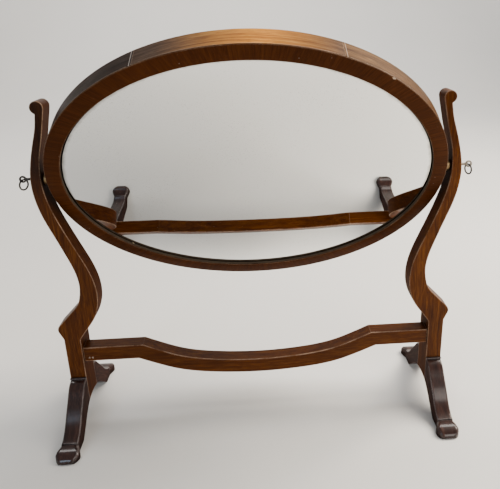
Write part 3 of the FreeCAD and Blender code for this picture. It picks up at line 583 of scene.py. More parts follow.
@dataclass(frozen=True)
class WoodFinish:
    """A stained and polished hardwood."""

    name: str
    dark: Triple
    middle: Triple
    light: Triple
    worn: Triple
    wear: float = 0.75
    wear_radius: float = 1.8 * MM
    roughness: float = 0.34
    polish: float = 0.18
    gloss: float = 0.30
    band_width: float = 6 * MM
    contrast: float = 1.0
    pore_depth: float = 0.6
    specks: float = 0.0
    cloud: float = 0.35
    board_axis: Triple = (0.0, 0.0, 0.0)
    dull_axis: Triple = (0.0, 0.0, 0.0)
    softness: float = 0.0
    # How far faces turned along the dull axis are darkened: painted shade on the sides.
    side_tone: float = 0.0
    # Painted shade up an upright.
    hands: Optional[HandDark] = None
    slot: str = ""

    def material(self, grain: Grain, seed: float = 0.0,
                 joints: Sequence[GlueLine] = (), chips: Sequence[Chip] = (),
                 stains: Sequence[SightStain] = (), tone: Optional[str] = None,
                 crown_highlight: Optional[SunBleach] = None) -> Material:
        """Builds the material for one piece.

        Args:
            grain: which way the piece's grain runs.
            seed: moves the pattern, so that no two boards match.
            joints: glue lines that cross a piece of the oval.
            chips: small losses along a piece of the oval.
            stains: stained edges of a piece of the oval.
            tone: the piece's own attribute that lightens or darkens each leaf.
            crown_highlight: the painted highlight on a piece of the oval.

        Returns:
            The material.
        """
        material, graph = new_material(f"{self.name}_{grain.name.lower()}_{seed:g}")
        position = graph.own("Object")
        along, oval = self._along(graph, grain, position)
        figure = graph.group("wood_figure", grain=along, seed=seed, band_width=self.band_width)
        wear = graph.group("edge_wear", position=position, radius=self.wear_radius, seed=seed,
                           board_axis=self.board_axis)
        marks = graph.group("surface_marks", position=position, seed=seed)

        shade = graph.add(graph.times(figure["Figure"], RIBBON_SHARE * self.contrast),
                          graph.times(figure["Fibre"], FIBRE_SHARE * self.contrast))
        shade = graph.add(shade, 0.5 - 0.5 * self.contrast)
        colour = graph.ramp(shade, TONE_STOPS, (self.dark, self.middle, self.light))
        # Painted highlight on the crown of the oval.
        if crown_highlight:
            colour = crown_highlight.fade(graph, oval, shade, colour)
        if tone:
            leaf = graph.node("ShaderNodeAttribute", attribute_name=tone).outputs["Fac"]
            leaves = graph.ramp(leaf, (0.0, 1.0), (DARKEST_LEAF, WHITE))
            colour = graph.mix(1.0, colour, leaves, "MULTIPLY")
        aside = graph.lean(self.dull_axis)
        # Painted shade: faces turned along the dull axis go towards the dark tone.
        colour = graph.mix(graph.remap(aside, 0.45, 0.95, 0.0, self.side_tone), colour, self.dark)
        for mask, strength, depth in ((figure["Cloud"], self.cloud, CLOUD_TONE),
                                      (figure["Pores"], self.pore_depth, PORE_TONE)):
            colour = graph.mix(graph.times(mask, strength), colour, share_of(self.dark, depth))
        # Painted shade, deeper up the upright.
        if self.hands:
            colour = self.hands.darken(graph, position, colour)
        worn = graph.times(wear["Worn"], self.wear)
        for joint in joints:
            worn = graph.times(worn, joint.clearance(graph, oval))
        colour = graph.mix(worn, colour, self.worn)
        for mask, strength, tint in ((wear["Sheltered"], 0.8, share_of(self.dark, SHELTER_TONE)),
                                     (marks["Specks"], self.specks, DUST)):
            colour = graph.mix(graph.times(mask, strength), colour, tint)
        for loss in (*stains, *joints, *chips):
            colour = graph.mix(loss.mask(graph, oval), colour, loss.colour)

        rough = self.roughness
        for mask, rise in ((marks["Smudge"], 0.10), (figure["Pores"], 0.18),
                           (wear["Sheltered"], 0.2)):
            rough = graph.add(rough, graph.times(mask, rise))
        rough = graph.math("MAXIMUM", rough, graph.remap(aside, 0.75, 0.95, 0.0, SIDE_ROUGHNESS))
        surface(graph, {"Base Color": colour, "Roughness": rough,
                        "Normal": self._relief(graph, figure, marks),
                        "Coat Weight": graph.remap(aside, 0.85, 0.6, 0.0, self.polish),
                        "Coat Roughness": 0.16, "Specular IOR Level": self.gloss})
        return material

    def _relief(self, graph: Graph, figure: Wires, marks: Wires) -> Wire:
        """The normal of the grain: open pores, raised fibre and scratches.

        Args:
            graph: the material's graph.
            figure: the wood figure's values.
            marks: the surface marks' values.

        Returns:
            The normal, over rounded arrises where the finish is soft.
        """
        height = graph.add(graph.times(figure["Pores"], -1.0),
                           graph.times(figure["Fibre"], FINE_RELIEF))
        height = graph.minus(height, graph.times(marks["Scratch"], FINE_RELIEF))
        feeds = {"Strength": 0.32, "Distance": 0.12 * MM, "Height": height}
        if self.softness:
            feeds["Normal"] = graph.first("ShaderNodeBevel", {"Radius": self.softness},
                                          samples=SOFT_SAMPLES)
        return graph.first("ShaderNodeBump", feeds)

    @staticmethod
    def _along(graph: Graph, grain: Grain,
               position: Wire) -> tuple[Wire, Optional[Wires]]:
        """Coordinates whose x runs along the grain.

        Args:
            graph: the material's graph.
            grain: which way the grain runs.
            position: the object coordinates.

        Returns:
            The coordinates, and the oval's own where the grain follows it.
        """
        if grain in (Grain.ROUND_THE_OVAL, Grain.OUT_FROM_THE_OVAL):
            oval = graph.group("oval_coordinates", position=position)
            return on_oval(graph, oval, grain), oval
        turn = Vector(grain.value).to_track_quat("X", "Z").to_euler()
        feeds = {"Vector": position, "Rotation": turn}
        return graph.first("ShaderNodeMapping", feeds, vector_type="TEXTURE"), None


@dataclass(frozen=True)
class MetalFinish:
    """A metal that has tarnished in its corners and stays bright where it is handled."""

    name: str
    bright: Triple
    tarnished: Triple
    roughness: float = 0.26
    tarnish: float = 0.55
    handling: float = 1.0
    slot: str = ""

    def material(self, seed: float) -> Material:
        """Builds the material for one piece.

        Args:
            seed: moves the pattern.

        Returns:
            The material.
        """
        material, graph = new_material(f"{self.name}_{seed:g}")
        position = graph.own("Object")
        wear = graph.group("edge_wear", position=position, radius=0.5 * MM, seed=seed)
        marks = graph.group("surface_marks", position=position, seed=seed)
        place = graph.vector("ADD", position, (seed, 0.0, seed))
        bloom = graph.noise(place, 260.0, 4.0, 0.65)
        dulled = graph.times(graph.remap(bloom, 0.32, 0.66), self.tarnish)
        dulled = graph.math("MAXIMUM", dulled, wear["Sheltered"])
        rubbed = graph.times(wear["Worn"], self.handling)
        dulled = graph.math("MAXIMUM", graph.minus(dulled, rubbed), 0.0)
        rough = graph.add(self.roughness, graph.times(dulled, 0.3))
        rough = graph.add(rough, graph.times(marks["Smudge"], 0.08))
        grit = graph.noise(place, 1500.0)
        relief = graph.first("ShaderNodeBump", {"Strength": 0.25, "Distance": 0.06 * MM,
                                                "Height": grit})
        surface(graph, {"Base Color": graph.mix(dulled, self.bright, self.tarnished),
                        "Metallic": 1.0, "Roughness": rough, "Normal": relief})
        return material


@dataclass(frozen=True)
class MirrorFinish:
    """Old silvered plate: bright in the middle, tired at its edge, ringed by painted shadow."""

    name: str = "silvered_plate"
    silver: Triple = (0.90, 0.91, 0.90)
    edge: Triple = (0.30, 0.28, 0.25)
    # Colour of the painted shadow ring where the lip meets the glass.
    gap: Triple = (0.004, 0.004, 0.004)
    gap_width: float = 1.5 * MM
    gap_blur: float = 0.15 * MM
    creep: float = 5 * MM
    tired_reach: float = 2 * MM

    def material(self) -> Material:
        """Builds the material.

        Returns:
            The material.
        """
        material, graph = new_material(self.name)
        position = graph.own("Object")
        oval = graph.group("oval_coordinates", position=position)
        marks = graph.group("surface_marks", position=position, seed=3.0)
        creep = graph.times(graph.noise(position, 90.0, 4.0, 0.7), self.creep)
        tired = graph.remap(graph.add(oval["Out"], creep), -self.tired_reach, self.tired_reach)
        pits = graph.remap(graph.noise(position, 900.0, 2.0, 0.6), 0.60, 0.68)
        crowding = graph.remap(graph.noise(position, 14.0), 0.42, 0.62, 0.05, 0.4)
        colour = self.silver
        for share in (tired, graph.times(marks["Specks"], 0.25), graph.times(pits, crowding)):
            colour = graph.mix(share, colour, self.edge)
        # Painted shadow: a black ring just inside the sight edge, under the lip.
        shadow = graph.remap(oval["Out"], -self.gap_width - self.gap_blur,
                             -self.gap_width + self.gap_blur)
        rough = 0.004
        for mask, rise in ((marks["Smudge"], 0.012), (marks["Specks"], 0.2)):
            rough = graph.add(rough, graph.times(mask, rise))
        surface(graph, {"Base Color": graph.mix(shadow, colour, self.gap), "Metallic": 1.0,
                        "Roughness": rough})
        return material


@dataclass(frozen=True)
class PlainFloor:
    """Pale matt studio floor."""

    name: str = "studio_floor"
    colour: Triple = (0.78, 0.76, 0.73)
    pale: float = 1.04

    def material(self) -> Material:
        """Builds the material.

        Returns:
            The material.
        """
        material, graph = new_material(self.name)
        tone = graph.noise(graph.own("Object"), 2.0, 3.0)
        colour = graph.mix(graph.remap(tone, 0.3, 0.7), self.colour,
                           share_of(self.colour, self.pale))
        surface(graph, {"Base Color": colour, "Roughness": graph.remap(tone, 0.2, 0.8, 0.62, 0.7)})
        return material


MAHOGANY = WoodFinish(
    "mahogany", dark=(0.028, 0.0052, 0.0001), middle=(0.086, 0.0215, 0.0007),
    light=(0.185, 0.056, 0.0035), worn=(0.58, 0.38, 0.25), polish=0.16, gloss=0.03,
    band_width=4 * MM, board_axis=(0.0, 1.0, 0.0), dull_axis=(1.0, 0.0, 0.0), side_tone=0.5)
UPRIGHT_MAHOGANY = replace(MAHOGANY, name="upright_mahogany", wear=0.5, contrast=1.12,
                           pore_depth=0.75)
# The left upright: more wear on its arrises, and painted shade deepening towards its top.
PAINTED_SHADE_MAHOGANY = replace(UPRIGHT_MAHOGANY, name="handled_mahogany", wear=0.75,
                           wear_radius=1.3 * MM, hands=HandDark(0.26, 0.325, 0.66))
# The legs' pale grey worn colour is wear on the arrises and partly a painted highlight along them.
DARK_LEG = WoodFinish(
    "dark_leg_wood", dark=(0.012, 0.0044, 0.0034),
    middle=(0.030, 0.0115, 0.0085), light=(0.075, 0.032, 0.022), worn=(0.34, 0.29, 0.28),
    wear=0.6, roughness=0.30, polish=0.52, gloss=0.05, contrast=1.2,
    board_axis=(1.0, 0.0, 0.0), dull_axis=(1.0, 0.0, 0.0), softness=3.2 * MM)
CROSSBAND = WoodFinish(
    "crossbanding", slot="face_veneer", dark=(0.025, 0.0056, 0.0008),
    middle=(0.062, 0.0165, 0.0022), light=(0.112, 0.034, 0.0055), worn=(0.46, 0.31, 0.20),
    wear_radius=1.1 * MM, band_width=2.2 * MM, contrast=0.72, specks=0.45, polish=0.0,
    gloss=0.04)
RIM_VENEER = WoodFinish(
    "rim_veneer", dark=(0.044, 0.0165, 0.0048), middle=(0.122, 0.056, 0.0185),
    light=(0.260, 0.138, 0.055), worn=(0.60, 0.44, 0.32), wear_radius=1.2 * MM,
    band_width=3 * MM, polish=0.02, gloss=0.05, contrast=1.15, dull_axis=(1.0, 0.0, 0.0),
    side_tone=0.5)
# Lit and shaded copies of the rim veneer: the upper strip is darkened as painted shade, under its
# painted crown highlight.
PAINTED_LIGHT_RIM = replace(RIM_VENEER, name="rim_veneer_golden", dark=(0.026, 0.0130, 0.0075),
                     middle=(0.068, 0.038, 0.0240), light=(0.140, 0.084, 0.054))
# The left strip is darkened all over as painted shade.
PAINTED_SHADE_RIM = replace(RIM_VENEER, name="rim_veneer_dark", dark=(0.016, 0.0088, 0.0062),
                     middle=(0.043, 0.026, 0.0195), light=(0.092, 0.058, 0.045), side_tone=0.0)
CORE = WoodFinish(
    "core_wood", dark=(0.09, 0.040, 0.014), middle=(0.17, 0.085, 0.032),
    light=(0.27, 0.15, 0.065), worn=(0.36, 0.24, 0.14), roughness=0.6, polish=0.0, cloud=0.5)
BACKBOARD = WoodFinish(
    "backboard_wood", dark=(0.085, 0.035, 0.012),
    middle=(0.16, 0.078, 0.029), light=(0.26, 0.15, 0.062), worn=(0.38, 0.26, 0.15),
    roughness=0.6, polish=0.0, band_width=14 * MM, cloud=0.5)
DOWEL = WoodFinish(
    "dowel_wood", dark=(0.30, 0.20, 0.11), middle=(0.42, 0.30, 0.18),
    light=(0.55, 0.41, 0.27), worn=(0.6, 0.48, 0.33), roughness=0.6, polish=0.0)
BRASS = MetalFinish("brass", slot="brass", bright=(0.50, 0.34, 0.17),
                    tarnished=(0.060, 0.036, 0.018), tarnish=0.85)
OLD_BRASS = MetalFinish("old_brass", bright=(0.46, 0.39, 0.31),
                        tarnished=(0.020, 0.016, 0.014), tarnish=1.0, handling=0.35)
# Black brass of the drop rings; on the left thumb-screw it is painted shade.
BLACKENED_AND_PAINTED_SHADE_BRASS = MetalFinish("blackened_brass", bright=(0.10, 0.09, 0.085),
                              tarnished=(0.004, 0.004, 0.005), tarnish=1.0, handling=0.1)
STEEL = MetalFinish("steel", slot="steel", bright=(0.28, 0.26, 0.24),
                    tarnished=(0.10, 0.075, 0.06), roughness=0.38)


# ---------- pieces
def new_object(name: str, data: ID) -> Object:
    """Puts a new object in the scene.

    Args:
        name: the object's name.
        data: its mesh, light or camera.

    Returns:
        The object.
    """
    made = bpy.data.objects.new(name, data)
    bpy.context.scene.collection.objects.link(made)
    return made


def paint(piece: Object, material: Material) -> None:
    """Gives a piece its material in place of any other.

    Args:
        piece: the piece.
        material: its new material.
    """
    piece.data.materials.clear()
    piece.data.materials.append(material)
    log.info("%s: %s", piece.name, material.name)


def shaped_piece(tree: NodeTree, name: str, **sizes: Any) -> Object:
    """Runs a geometry tree once and keeps its result as a plain mesh.

    Args:
        tree: the geometry tree.
        name: the piece's name.
        **sizes: its inputs, named with underscores. Any that the tree lacks are passed over.

    Returns:
        The piece, at the origin.
    """
    piece = new_object(name, bpy.data.meshes.new(name))
    modifier = piece.modifiers.new("shape", "NODES")
    modifier.node_group = tree
    named = {label(key): value for key, value in sizes.items()}
    for item in tree.interface.items_tree:
        if item.in_out == "INPUT" and item.name in named:
            modifier[item.identifier] = named[item.name]
    depsgraph = bpy.context.evaluated_depsgraph_get()
    mesh = bpy.data.meshes.new_from_object(piece.evaluated_get(depsgraph),
                                           preserve_all_data_layers=True, depsgraph=depsgraph)
    piece.modifiers.remove(modifier)
    mesh.name = name
    piece.data = mesh
    return piece


def finished_tree(graph: Graph, given: Wires, geometry: Wire) -> NodeTree:
    """Ends a geometry tree: its shape goes to its place, turns real and takes its finish.

    Args:
        graph: the tree's graph.
        given: the values that come in, with Place, Turn and Finish.
        geometry: the shape.

    Returns:
        The finished tree.
    """
    feeds = {"Geometry": geometry, "Translation": given["Place"], "Rotation": given["Turn"]}
    placed = graph.first("GeometryNodeTransform", feeds)
    real = graph.first("GeometryNodeRealizeInstances", {"Geometry": placed})
    feeds = {"Geometry": real, "Material": given["Finish"]}
    return graph.deliver("Geometry", Geometry=graph.first("GeometryNodeSetMaterial", feeds))


def hand_over(piece: Object, body: str, finish: Union[WoodFinish, MetalFinish],
              *nodes: str) -> None:
    """Puts a new piece on its body in place of the nodes that it stands for.

    Args:
        piece: the piece, in place.
        body: the body that it rides on.
        finish: not used.
        *nodes: the frame's nodes that it replaces.
    """
    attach(piece, body)
    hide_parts(*nodes)
    log.info("%s: %d faces on %s", piece.name, len(piece.data.polygons), body)


@dataclass(frozen=True)
class OvalFrame:
    """Veneered oval frame: face crossbanding, rim strips and the built-up core."""

    place: OvalPlace
    side_width: float = 15.9 * MM
    top_width: float = 16.9 * MM
    face_level: float = 17.18 * MM
    veneer: float = 1.2 * MM
    arris: float = 0.58 * MM
    smooth_below: float = math.radians(50)
    stations: int = 288
    leaves: int = 18
    seed: int = 11
    segments: int = 8
    rim_joints: tuple[GlueLine, ...] = (GlueLine(-27.5, (0.66, 0.58, 0.52), 0.85),
                                        GlueLine(24.4, (0.50, 0.38, 0.30), 0.7))
    chips: tuple[Chip, ...] = (Chip(38.6, 16.4 * MM, 3.0 * MM),)
    lip_chips: tuple[Chip, ...] = (Chip(-132.0, 0.2 * MM, 1.6 * MM, depth=13.2 * MM,
                                        colour=(0.80, 0.62, 0.36)),)

    def build(self) -> Object:
        """Sweeps the crossbanded face round the oval, leaf by leaf.

        Returns:
            The face veneer.
        """
        sizes = {**vars(self.place), **vars(self), "place": self.place.pivot,
                 "turn": tuple(self.place.turn), "back_level": self.face_level - self.veneer,
                 "thickness": self.veneer}
        band = shaped_piece(self._band_tree(), "face_crossbanding", **sizes)
        band.data.shade_smooth()
        band.data.set_sharp_from_angle(angle=self.smooth_below)
        return band

    def _band_tree(self) -> NodeTree:
        """Sweeps a rounded strip round the oval and marks its leaves.

        Returns:
            The geometry tree.
        """
        graph, given = new_group(
            "oval_band", "Geometry", sight_half_width=0.0, sight_half_height=0.0, side_width=0.0,
            top_width=0.0, back_level=0.0, thickness=0.0, arris=0.0, stations=0, leaves=0,
            seed=0, place="Vector", turn="Rotation", finish="Material")
        strip = graph.first("GeometryNodeCurvePrimitiveQuadrilateral",
                            {"Width": given["Side Width"], "Height": given["Thickness"]})
        eased = graph.first("GeometryNodeFilletCurve", {
            "Curve": strip, "Count": 4, "Radius": given["Arris"]}, mode="POLY")
        position = graph.first("GeometryNodeInputPosition")
        section, section_place = self._captured(graph, eased, "VECTOR", position)
        circle = graph.first("GeometryNodeCurvePrimitiveCircle",
                             {"Resolution": given["Stations"], "Radius": 1.0})
        factor = graph.node("GeometryNodeSplineParameter").outputs["Factor"]
        path, path_share = self._captured(graph, circle, "FLOAT", factor)
        swept = graph.first("GeometryNodeCurveToMesh", {"Curve": path, "Profile Curve": section})

        out, depth, _ = graph.split(section_place)
        share = graph.add(graph.divide(out, given["Side Width"]), 0.5)
        level = graph.add(graph.add(depth, graph.times(given["Thickness"], 0.5)),
                          given["Back Level"])
        turn = graph.times(path_share, FULL_TURN)
        half_width = graph.math("MULTIPLY_ADD", share, given["Side Width"],
                                given["Sight Half Width"])
        half_height = graph.math("MULTIPLY_ADD", share, given["Top Width"],
                                 given["Sight Half Height"])
        spot = graph.combine(graph.times(half_width, graph.math("SINE", turn)),
                             graph.times(half_height, graph.math("COSINE", turn)), level)
        laid = graph.first("GeometryNodeSetPosition", {"Geometry": swept, "Position": spot})

        across, up, _ = graph.split(graph.first("GeometryNodeInputPosition"))
        facing = graph.math("ARCTAN2", graph.divide(across, given["Sight Half Width"]),
                            graph.divide(up, given["Sight Half Height"]))
        count = graph.times(graph.divide(facing, FULL_TURN), given["Leaves"])
        leaf = graph.math("FLOOR", graph.add(count, FIRST_LEAF))
        shade = graph.node("FunctionNodeRandomValue", {"ID": leaf, "Seed": given["Seed"]},
                           data_type="FLOAT").outputs[RANDOM_RESULT]
        toned = graph.first("GeometryNodeStoreNamedAttribute", {
            "Geometry": laid, "Name": LEAF_TONE, "Value": shade}, data_type="FLOAT",
            domain="FACE")
        return finished_tree(graph, given, toned)

    @staticmethod
    def _captured(graph: Graph, geometry: Wire, kind: str, value: Wire) -> tuple[Wire, Wire]:
        """Keeps a value on a curve while it is swept.

        Args:
            graph: the tree's graph.
            geometry: the curve.
            kind: the value's type.
            value: the value.

        Returns:
            The curve that carries the value, and the value as later nodes read it.
        """
        capture = graph.node("GeometryNodeCaptureAttribute", {"Geometry": geometry})
        capture.capture_items.new(kind, "kept")
        graph.feed(capture.inputs[1], value)
        return capture.outputs[0], capture.outputs[1]

    def dress(self, band: Object) -> None:
        """Finishes the band, the rim strips and the core.

        Args:
            band: the face veneer.
        """
        paint(band, CROSSBAND.material(Grain.OUT_FROM_THE_OVAL, chips=self.chips,
                                       tone=LEAF_TONE))
        hand_over(band, "mirror", CROSSBAND, "face_veneer")
        # The upper strip takes painted shade and a painted crown highlight; the left strip,
        # painted shade.
        strips = {"upper": (PAINTED_LIGHT_RIM, SunBleach()), "left": (PAINTED_SHADE_RIM, None),
                  "right": (RIM_VENEER, None)}
        for seed, (strip, (veneer, crown_highlight)) in enumerate(strips.items(), start=2):
            paint(NODES[f"rim_veneer_{strip}"], veneer.material(
                Grain.ROUND_THE_OVAL, seed, self.rim_joints, self.chips, crown_highlight=crown_highlight))
        for index in range(1, self.segments + 1):
            paint(NODES[f"frame_segment_{index}"], CORE.material(
                Grain.ROUND_THE_OVAL, index + 10.0, chips=self.lip_chips,
                stains=(SightStain(),)))


@dataclass(frozen=True)
class SlottedScrews:
    """Countersunk screws set round an oval, each slot turned its own way."""

    name: str
    count: int
    half_width: float
    half_height: float
    level: float
    head: float
    shank: float
    length: float
    first: float
    seed: int

    def build(self, matrix: Matrix) -> Object:
        """Drives the screws.

        Args:
            matrix: the oval's placement, its z into the wood.

        Returns:
            All the screws as one piece.
        """
        return shaped_piece(self.tree(), **vars(self), place=tuple(matrix.translation),
                            turn=tuple(matrix.to_euler()))

    @staticmethod
    def _length(graph: Graph, bottom: Feed, top: Feed, depth: Feed, level: Feed) -> Wire:
        """Turns one round length of a screw.

        Args:
            graph: the tree's graph.
            bottom: the radius at its start.
            top: the radius at its end.
            depth: how long it is.
            level: where it starts.

        Returns:
            The length's shape.
        """
        feeds = {"Vertices": SCREW_SIDES, "Radius Bottom": bottom, "Radius Top": top,
                 "Depth": depth}
        turned = graph.first("GeometryNodeMeshCone", feeds)
        feeds = {"Geometry": turned, "Translation": graph.combine(z=level)}
        return graph.first("GeometryNodeTransform", feeds)

    @classmethod
    def tree(cls) -> NodeTree:
        """Turns one screw and repeats it. The tree is built the first time it is needed.

        Returns:
            The geometry tree.
        """
        made = bpy.data.node_groups.get("slotted_screws")
        if made:
            return made
        graph, given = new_group(
            "slotted_screws", "Geometry", count=0, half_width=0.0, half_height=0.0, level=0.0,
            head=0.0, shank=0.0, length=0.0, first=0.0, seed=0, place="Vector",
            turn="Rotation", finish="Material")
        head_radius = graph.times(given["Head"], 0.5)
        shank_radius = graph.times(given["Shank"], 0.5)
        sink = graph.minus(head_radius, shank_radius)
        point = graph.times(given["Shank"], 0.7)
        straight = graph.minus(graph.minus(given["Length"], sink), point)
        crown = cls._length(graph, head_radius, shank_radius, sink, 0.0)
        shank = cls._length(graph, shank_radius, shank_radius, straight, sink)
        tip = cls._length(graph, shank_radius, graph.times(shank_radius, 0.2), point,
                          graph.add(sink, straight))
        slot_size = graph.combine(*(graph.times(given["Head"], share) for share in SLOT_SHARES))
        slot = graph.first("GeometryNodeMeshCube", {"Size": slot_size})
        cut = graph.first("GeometryNodeMeshBoolean", {"Mesh 1": crown, "Mesh 2": slot},
                          operation="DIFFERENCE")
        screw = graph.node("GeometryNodeJoinGeometry")
        for part in (tip, shank, cut):
            graph.feed(screw.inputs[0], part)

        index = graph.first("GeometryNodeInputIndex")
        step = graph.divide(FULL_TURN, given["Count"])
        angle = graph.math("MULTIPLY_ADD", index, step, given["First"])
        spot = graph.combine(graph.times(graph.math("COSINE", angle), given["Half Width"]),
                             graph.times(graph.math("SINE", angle), given["Half Height"]),
                             given["Level"])
        points = graph.first("GeometryNodePoints", {"Count": given["Count"], "Position": spot})
        feeds = {"ID": index, "Seed": given["Seed"], RANDOM_MAX: math.pi}
        slant = graph.node("FunctionNodeRandomValue", feeds, data_type="FLOAT")
        placed = graph.first("GeometryNodeInstanceOnPoints", {
            "Points": points, "Instance": screw.outputs[0],
            "Rotation": graph.combine(z=slant.outputs[RANDOM_RESULT])})
        return finished_tree(graph, given, placed)


@dataclass(frozen=True)
class Backing:
    """Silvered plate, the blocks that hold it, and the backboard with its screws."""

    place: OvalPlace
    screws: SlottedScrews = SlottedScrews(
        "backboard_screws", count=10, half_width=209.65 * MM, half_height=167.75 * MM,
        level=-10.5 * MM, head=5.2 * MM, shank=2.6 * MM, length=14.0 * MM,
        first=math.radians(18), seed=5)

    def build(self) -> Object:
        """Drives the backboard's screws."""
        return self.screws.build(self.place.matrix)

    def dress(self, screws: Object) -> None:
        """Finishes the plate, the blocks, the board and its screws.

        Args:
            screws: the backboard's screws.
        """
        paint(NODES["mirror_plate"], MirrorFinish().material())
        paint(NODES["glazing_blocks"], CORE.material(Grain.ROUND_THE_OVAL, seed=33.0))
        paint(NODES["backboard"], BACKBOARD.material(Grain.ACROSS, seed=31.0))
        paint(screws, STEEL.material(seed=35.0))
        hand_over(screws, "mirror", STEEL, "back_screws")


@dataclass(frozen=True)
class Pivots:
    """Pivot plates with their screws, thumb-screws and drop rings."""

    place: OvalPlace
    plate_face: float = 214.3 * MM
    spacing: float = 21.0 * MM

    def build(self) -> list[Object]:
        """Drives the two screws of each pivot plate.

        Returns:
            The screws of each side.
        """
        made = []
        for seed, side in enumerate(Side, start=21):
            screws = SlottedScrews(
                side.part("plate_screws"), count=2, half_width=0.0,
                half_height=self.spacing / 2, level=0.0, head=4.4 * MM, shank=2.2 * MM,
                length=7.0 * MM, first=QUARTER_TURN, seed=seed)
            inward = Matrix.Rotation(-side.value * QUARTER_TURN, 4, "Y")
            seat = Matrix.Translation((side.value * self.plate_face, 0.0, 0.0))
            made.append(screws.build(self.place.matrix @ seat @ inward))
        return made

    def dress(self, screws: Iterable[Object]) -> None:
        """Finishes the brass.

        Args:
            screws: the plates' screws.
        """
        # The left thumb-screw is blackened as painted shade.
        handled = {Side.LEFT: BLACKENED_AND_PAINTED_SHADE_BRASS, Side.RIGHT: OLD_BRASS}
        for seed, side in enumerate(Side, start=41):
            for name, brass, step in (("pivot_plate", BRASS, 0.0),
                                      ("thumb_screw", handled[side], 0.25),
                                      ("drop_ring", BLACKENED_AND_PAINTED_SHADE_BRASS, 0.5)):
                paint(NODES[side.part(name)], brass.material(seed + step))
        for seed, piece in enumerate(screws, start=47):
            paint(piece, BRASS.material(float(seed)))
            hand_over(piece, "mirror", BRASS, "plate_screws")


@dataclass(frozen=True)
class Stand:
    """Uprights, legs and stretcher."""

    def dress(self) -> None:
        """Finishes the stand."""
        # The left upright's finish carries painted shade.
        uprights = {Side.LEFT: PAINTED_SHADE_MAHOGANY, Side.RIGHT: UPRIGHT_MAHOGANY}
        for seed, side in enumerate(Side, start=51):
            for name, wood, grain, step in (
                    ("upright", uprights[side], Grain.UPRIGHT, 0.0),
                    ("front_leg", DARK_LEG, Grain.DOWN_FRONT_LEG, 4.0),
                    ("rear_leg", DARK_LEG, Grain.DOWN_REAR_LEG, 8.0)):
                paint(NODES[side.part(name)], wood.material(grain, seed + step))
        for name, wood, seed in (("stretcher", MAHOGANY, 61.0), ("leg_dowels", DOWEL, 63.0),
                                 ("stretcher_dowels", DOWEL, 64.0)):
            paint(NODES[name], wood.material(Grain.ACROSS, seed))
        paint(NODES["joint_pins"], STEEL.material(seed=65.0))


# ---------- studio
@dataclass(frozen=True)
class SoftLight:
    """One square-cornered soft box."""

    name: str
    place: Triple
    aim: Triple
    size: tuple[float, float]
    power: float
    colour: Triple

    def build(self) -> None:
        """Hangs the light and turns it to its aim."""
        lamp = bpy.data.lights.new(self.name, "AREA")
        lamp.shape = "RECTANGLE"
        lamp.size, lamp.size_y = self.size
        lamp.energy = self.power
        lamp.color = self.colour
        holder = new_object(self.name, lamp)
        holder.location = self.place
        reach = Vector(self.aim) - Vector(self.place)
        holder.rotation_euler = reach.to_track_quat("-Z", "Y").to_euler()


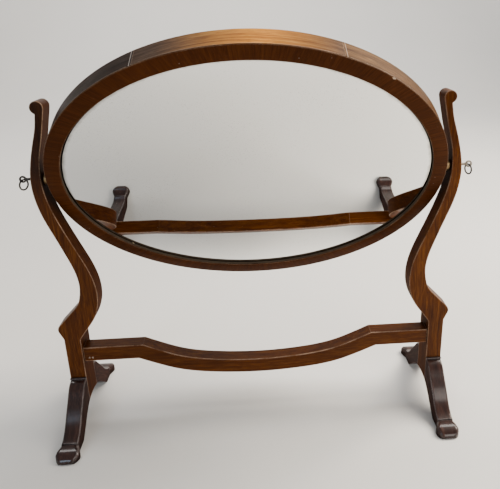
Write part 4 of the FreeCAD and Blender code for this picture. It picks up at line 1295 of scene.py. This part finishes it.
@dataclass(frozen=True)
class Studio:
    """Pale floor that curves up behind, soft boxes and a pale surround."""

    half_width: float = 6.0
    near: float = -2.6
    far: float = 3.2
    curve_radius: float = 1.2
    curve_steps: int = 16
    height: float = 4.0
    air: tuple[Triple, float] = ((0.80, 0.83, 0.88), 0.13)
    wall: tuple[Triple, float] = ((0.80, 0.79, 0.77), 1.2)
    mirrored: float = 0.5
    lights: tuple[SoftLight, ...] = (
        SoftLight("key", (1.15, 0.25, 1.25), (0.05, 0.0, 0.25), (0.9, 0.9), 50.0,
                  (1.0, 0.92, 0.80)),
        SoftLight("front_fill", (0.78, -1.35, 0.78), (0.15, 0.0, 0.2), (0.8, 0.6), 11.5,
                  (1.0, 0.95, 0.88)),
        SoftLight("left_window", (-0.95, -1.75, 0.95), (-0.2, 0.0, 0.1), (0.25, 0.6), 6.5,
                  (0.62, 0.80, 1.0)),
        SoftLight("backdrop_wash", (0.0, 0.9, 2.6), (0.0, 3.0, 0.6), (3.0, 0.8), 110.0,
                  (1.0, 0.98, 0.95)))

    def build(self) -> None:
        """Lays the floor, hangs the lights and sets the surround."""
        self._lay_floor()
        for light in self.lights:
            light.build()
        self._set_surround()

    def _lay_floor(self) -> None:
        """Makes the floor and the curve behind it as one sheet."""
        bend = self.far - self.curve_radius
        profile = [(self.near, 0.0), (bend, 0.0)]
        for step in range(1, self.curve_steps + 1):
            turn = QUARTER_TURN * step / self.curve_steps
            profile.append((bend + self.curve_radius * math.sin(turn),
                            self.curve_radius * (1 - math.cos(turn))))
        profile.append((self.far, self.height))
        corners = [(side * self.half_width, y, z) for y, z in profile for side in (-1, 1)]
        faces = [(low, low + 1, low + 3, low + 2) for low in range(0, len(corners) - 2, 2)]
        mesh = bpy.data.meshes.new("studio_floor")
        mesh.from_pydata(corners, [], faces)
        mesh.shade_smooth()
        mesh.materials.append(PlainFloor().material())
        floor = new_object("studio_floor", mesh)

    def _set_surround(self) -> None:
        """Makes the air that lights the scene and the wall that is seen and mirrored."""
        world = bpy.data.worlds.new("studio_air")
        world.use_nodes = True
        world.node_tree.nodes.clear()
        graph = Graph(world.node_tree)
        air, wall = (graph.first("ShaderNodeBackground", {"Color": opaque(colour),
                                                          "Strength": strength})
                     for colour, strength in (self.air, self.wall))
        ray = graph.node("ShaderNodeLightPath").outputs
        seen = graph.math("MAXIMUM", ray["Is Camera Ray"],
                          graph.times(ray["Is Glossy Ray"], self.mirrored))
        both = graph.first("ShaderNodeMixShader", {0: seen, 1: air, 2: wall})
        graph.node("ShaderNodeOutputWorld", {"Surface": both})
        bpy.context.scene.world = world


@dataclass(frozen=True)
class ViewCamera:
    """Camera above and in front, looking slightly down."""

    place: Triple = (8.94 * MM, -564.0 * MM, 479.96 * MM)
    yaw: float = 3.71
    dip: float = 18.1
    roll: float = -0.96
    sensor_fit: str = "HORIZONTAL"
    sensor_width: float = 36.0
    lens: float = 38.155
    shift_x: float = -0.0854
    shift_y: float = -0.1196
    clip_start: float = 0.01

    def build(self) -> None:
        """Sets the scene's camera."""
        view = bpy.data.cameras.new("view_camera")
        for name in ("sensor_fit", "sensor_width", "lens", "shift_x", "shift_y", "clip_start"):
            setattr(view, name, getattr(self, name))
        camera = new_object("view_camera", view)
        turn = (Matrix.Rotation(math.radians(-self.yaw), 4, "Z")
                @ Matrix.Rotation(math.radians(90 - self.dip), 4, "X")
                @ Matrix.Rotation(math.radians(self.roll), 4, "Z"))
        camera.matrix_world = Matrix.Translation(self.place) @ turn
        bpy.context.scene.camera = camera


# ---------- making
def main() -> None:
    """Builds and dresses each sub-assembly, then the studio and the camera."""
    tilt_joint = next(joint for joint in frame["joints"] if joint["name"] == "mirror_tilt")
    place = OvalPlace(tuple(tilt_joint["pos_m"]))
    ViewCamera().build()
    SharedEffects(place).build()
    for assembly in (OvalFrame(place), Backing(place), Pivots(place)):
        assembly.dress(assembly.build())
    Stand().dress()
    Studio().build()


if __name__ == "__main__":
    main()
